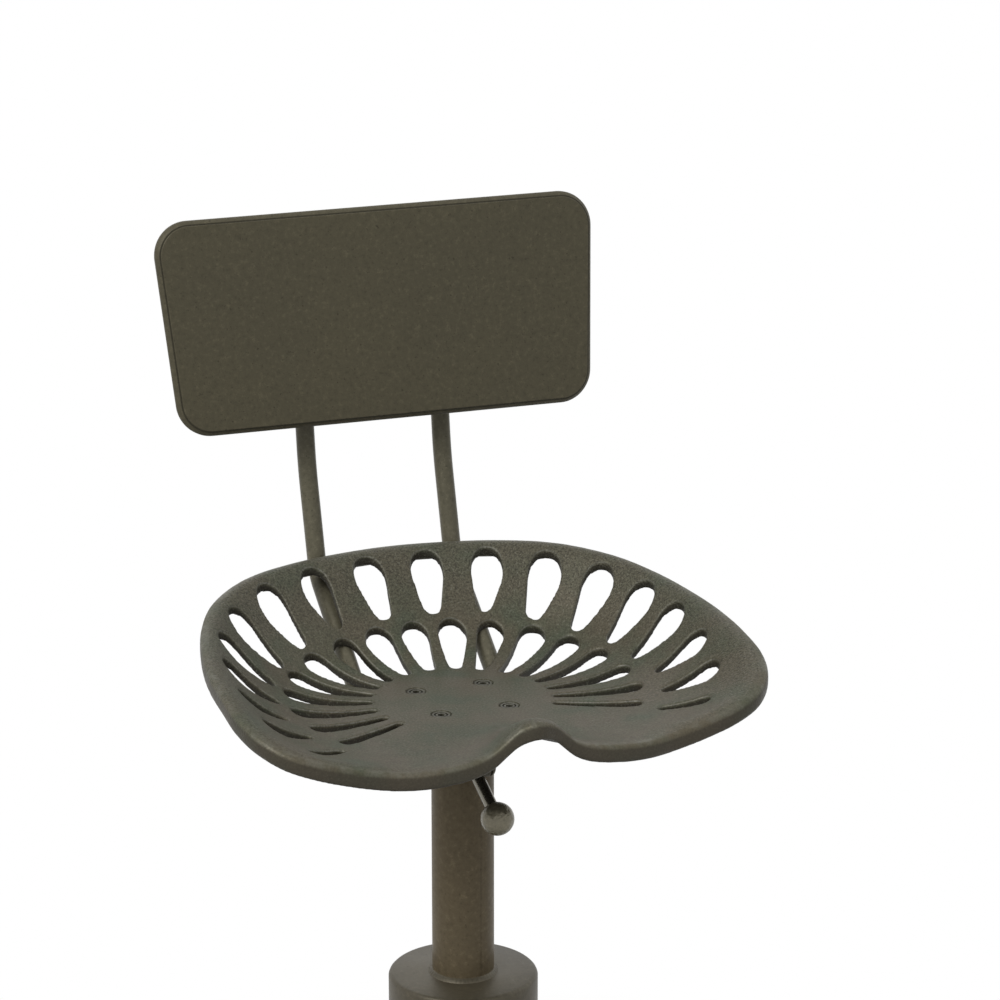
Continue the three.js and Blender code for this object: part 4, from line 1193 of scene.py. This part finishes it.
for i, where in enumerate(turned):
    dress(copied(leg, f"leg_pipe_{i + 1}", where), "base", f"leg_{i + 1}")
    foot = copied(glider, f"foot_cap_{i + 1}", where @ Matrix.Translation((legs["reach"], 0, 0)))
    dress(foot, "base", f"glider_{i + 1}")
bpy.data.objects.remove(leg)
bpy.data.objects.remove(glider)

stand = {
    "bore": 0.0243, "outer": 0.058, "skirt": 0.055, "capEdge": 0.3483, "capUnder": 0.3723, "capTop": 0.3763,
    "bracketLow": 0.316, "bracketTop": 0.321, "bracketHole": 0.013, "bracketCut": (0.3, 0.33),
}
bore, outer, skirt = stand["bore"], stand["outer"], stand["skirt"]
edge, under, top = stand["capEdge"], stand["capUnder"], stand["capTop"]
cap = spun("leg_cap_spinning", [
    (bore, under), (skirt - 0.001, under), (skirt, under - 0.001), (skirt, edge), (outer - 0.0006, edge),
    (outer, edge + 0.0006), (outer, under + 0.0005), (outer - 0.0007, top - 0.0018),
    (outer - 0.0018, top - 0.0007), (outer - 0.0035, top), (bore, top), (bore, under),
], 120)
dress(place(cap, onPost), "base", "leg_cap")
bracket = ringOf("leg_bracket_plate", bore, outer, stand["bracketLow"], stand["bracketTop"], 0.0009, 120)
for turn in legs["turns"]:
    hole = rod("hole", stand["bracketHole"], *stand["bracketCut"], 64)
    atLeg = Matrix.Rotation(turn, 4, "Z") @ Matrix.Translation((legs["root"], 0, 0))
    cutFrom(bracket, place(hole, atLeg))
dress(place(bracket, onPost), "base", "leg_bracket")

print("welds")
weld = {"size": 0.0032, "ripple": 0.00025, "steps": 144, "postRipples": 52, "legRipples": 30}


# A rippled fillet round an upright tube, on the plate at the given height.
def weldBead(name, tubeRadius, height, ripples):
    size, points, faces = weld["size"], [], []
    section = [(-0.0003, -0.0003), (1, -0.0003), (0.72, 0.38), (0.38, 0.72), (-0.0003, 1)]
    count = len(section)
    for step in range(weld["steps"]):
        turn = 2 * math.pi * step / weld["steps"]
        swell = weld["ripple"] * (1 - abs(math.sin(ripples * turn / 2)) * 2)
        for out, up in section:
            radius = tubeRadius + out * (size + swell)
            rise = height + up * (size + swell)
            points.append((radius * math.cos(turn), radius * math.sin(turn), rise))
    for step in range(weld["steps"]):
        start, after = step * count, (step + 1) % weld["steps"] * count
        for i in range(count):
            j = (i + 1) % count
            faces.append((start + i, after + i, after + j, start + j))
    return outward(fromPoints(name, points, (), faces))


for name, height in (("weld_post_cap", stand["capTop"]), ("weld_post_bracket", stand["bracketTop"])):
    bead = weldBead(name, post["radius"], height, weld["postRipples"])
    dress(place(bead, onPost), "base", slot="coated_steel", angle=60)
for i, where in enumerate(turned):
    bead = weldBead(f"weld_leg_{i + 1}", legs["radius"], stand["bracketTop"], weld["legRipples"])
    place(bead, where @ Matrix.Translation((legs["root"], 0, 0)))
    dress(bead, "base", slot="coated_steel", angle=60)

print("foot ring")
footRing = {
    "reach": 0.17746, "radius": 0.008, "height": 0.17, "steps": 160,
    "head": 0.006, "headHeight": 0.0034, "shank": 0.003, "length": 0.0243,
    "hole": 0.0035, "through": 0.011, "gap": 0.0003,
}
circle = []
reach, height = footRing["reach"], footRing["height"]
for step in range(footRing["steps"]):
    turn = 2 * math.pi * step / footRing["steps"]
    circle.append((reach * math.cos(turn), reach * math.sin(turn), height))
ring = bar("foot_ring_bar", circle, footRing["radius"], closed=True)
ringBolt = buttonScrew(
    "ring_bolt", footRing["head"], footRing["headHeight"], footRing["shank"], footRing["length"]
)
for i, turn in enumerate(legs["turns"]):
    radial = Matrix.Rotation(turn, 4, "Z") @ Matrix.Translation((0, 0, footRing["height"]))
    radial = radial @ Matrix.Rotation(math.pi / 2, 4, "Y")
    hole = rod("hole", footRing["hole"], reach - footRing["through"], reach + footRing["through"])
    cutFrom(ring, place(hole, radial))
    seatedAt = Matrix.Translation((0, 0, reach + footRing["radius"] + footRing["gap"]))
    bolt = copied(ringBolt, f"ring_bolt_head_{i + 1}", onPost @ radial @ seatedAt)
    dress(bolt, "base", f"ring_bolt_{i + 1}")
bpy.data.objects.remove(ringBolt)
dress(place(ring, onPost), "base", "foot_ring")

print("floor and light")
studio = {
    "floor": 40,
    "seenFloor": (0.26, 0.26, 0.25),
    "shadowEnds": (0.45, 0.8),
    "horizon": (-0.1, 0.3),
    "overhead": (0.95, 0.62),
    "aim": (0, 0, 0.7),
}
bpy.ops.mesh.primitive_plane_add(size=studio["floor"], location=(0, 0, 0))
floor = named("floor")
paper = newLook("floor_paper")
spot = paper.spot()
distance = paper.node("ShaderNodeVectorMath", {"operation": "LENGTH"}, spot, output="Value")
clear = paper.clearRays()
pale = paper.blend(paper.noise(spot, 60.0, 3.0), (0.8, 0.8, 0.79), (0.84, 0.84, 0.83))
# Seen from below, the floor isn't there.
above = 1 - paper.node("ShaderNodeNewGeometry", {}, output="Backfacing")
paper.finish(Base_Color=paper.blend(clear, studio["seenFloor"], pale), Roughness=0.9, Alpha=above)
paper.show(
    "Material Output", clear * distance.over(*studio["shadowEnds"]) * above,
    Value(paper, paper.surface.outputs[0]), paper.node("ShaderNodeEmission", {}, (1, 1, 1, 1), 1.0),
)
floor.data.materials.append(paper.owner)

# The room is brighter overhead than at the horizon, and the camera sees it white.
world = bpy.data.worlds.new("studio")
bpy.context.scene.world = world
room = Shader(world, "Background")
heading = room.node("ShaderNodeTexCoord", {}, output="Generated")
rise = room.node("ShaderNodeSeparateXYZ", {}, heading, output="Z")
lowRise, lowLight = studio["horizon"]
highRise, highLight = studio["overhead"]
fade = room.node("ShaderNodeMapRange", {}, rise, lowRise, highRise, lowLight, highLight)
room.finish(Color=(1, 1, 0.985, 1), Strength=fade)
room.show(
    "World Output", room.clearRays(),
    Value(room, room.surface.outputs[0]), room.node("ShaderNodeBackground", {}, (1, 1, 1, 1), 1.0),
)

softboxes = [
    {"name": "key", "place": (-2.2, -1.2, 2.9), "size": 1.5, "power": 60, "tint": (1, 0.985, 0.94)},
    {"name": "side", "place": (2.6, 0.4, 2.2), "size": 1.6, "power": 8, "tint": (0.97, 1, 0.97)},
    {"name": "back", "place": (0.4, 2.4, 2.6), "size": 2.0, "power": 10, "tint": (0.95, 0.98, 1)},
]
for box in softboxes:
    aim = Vector(studio["aim"]) - Vector(box["place"])
    bpy.ops.object.light_add(
        type="AREA", location=box["place"], rotation=aim.to_track_quat("-Z", "Y").to_euler()
    )
    light = bpy.context.object
    light.name = box["name"]
    light.data.shape = "SQUARE"
    light.data.size = box["size"]
    light.data.energy = box["power"]
    light.data.color = box["tint"]

bpy.context.scene.view_settings.view_transform = "Standard"
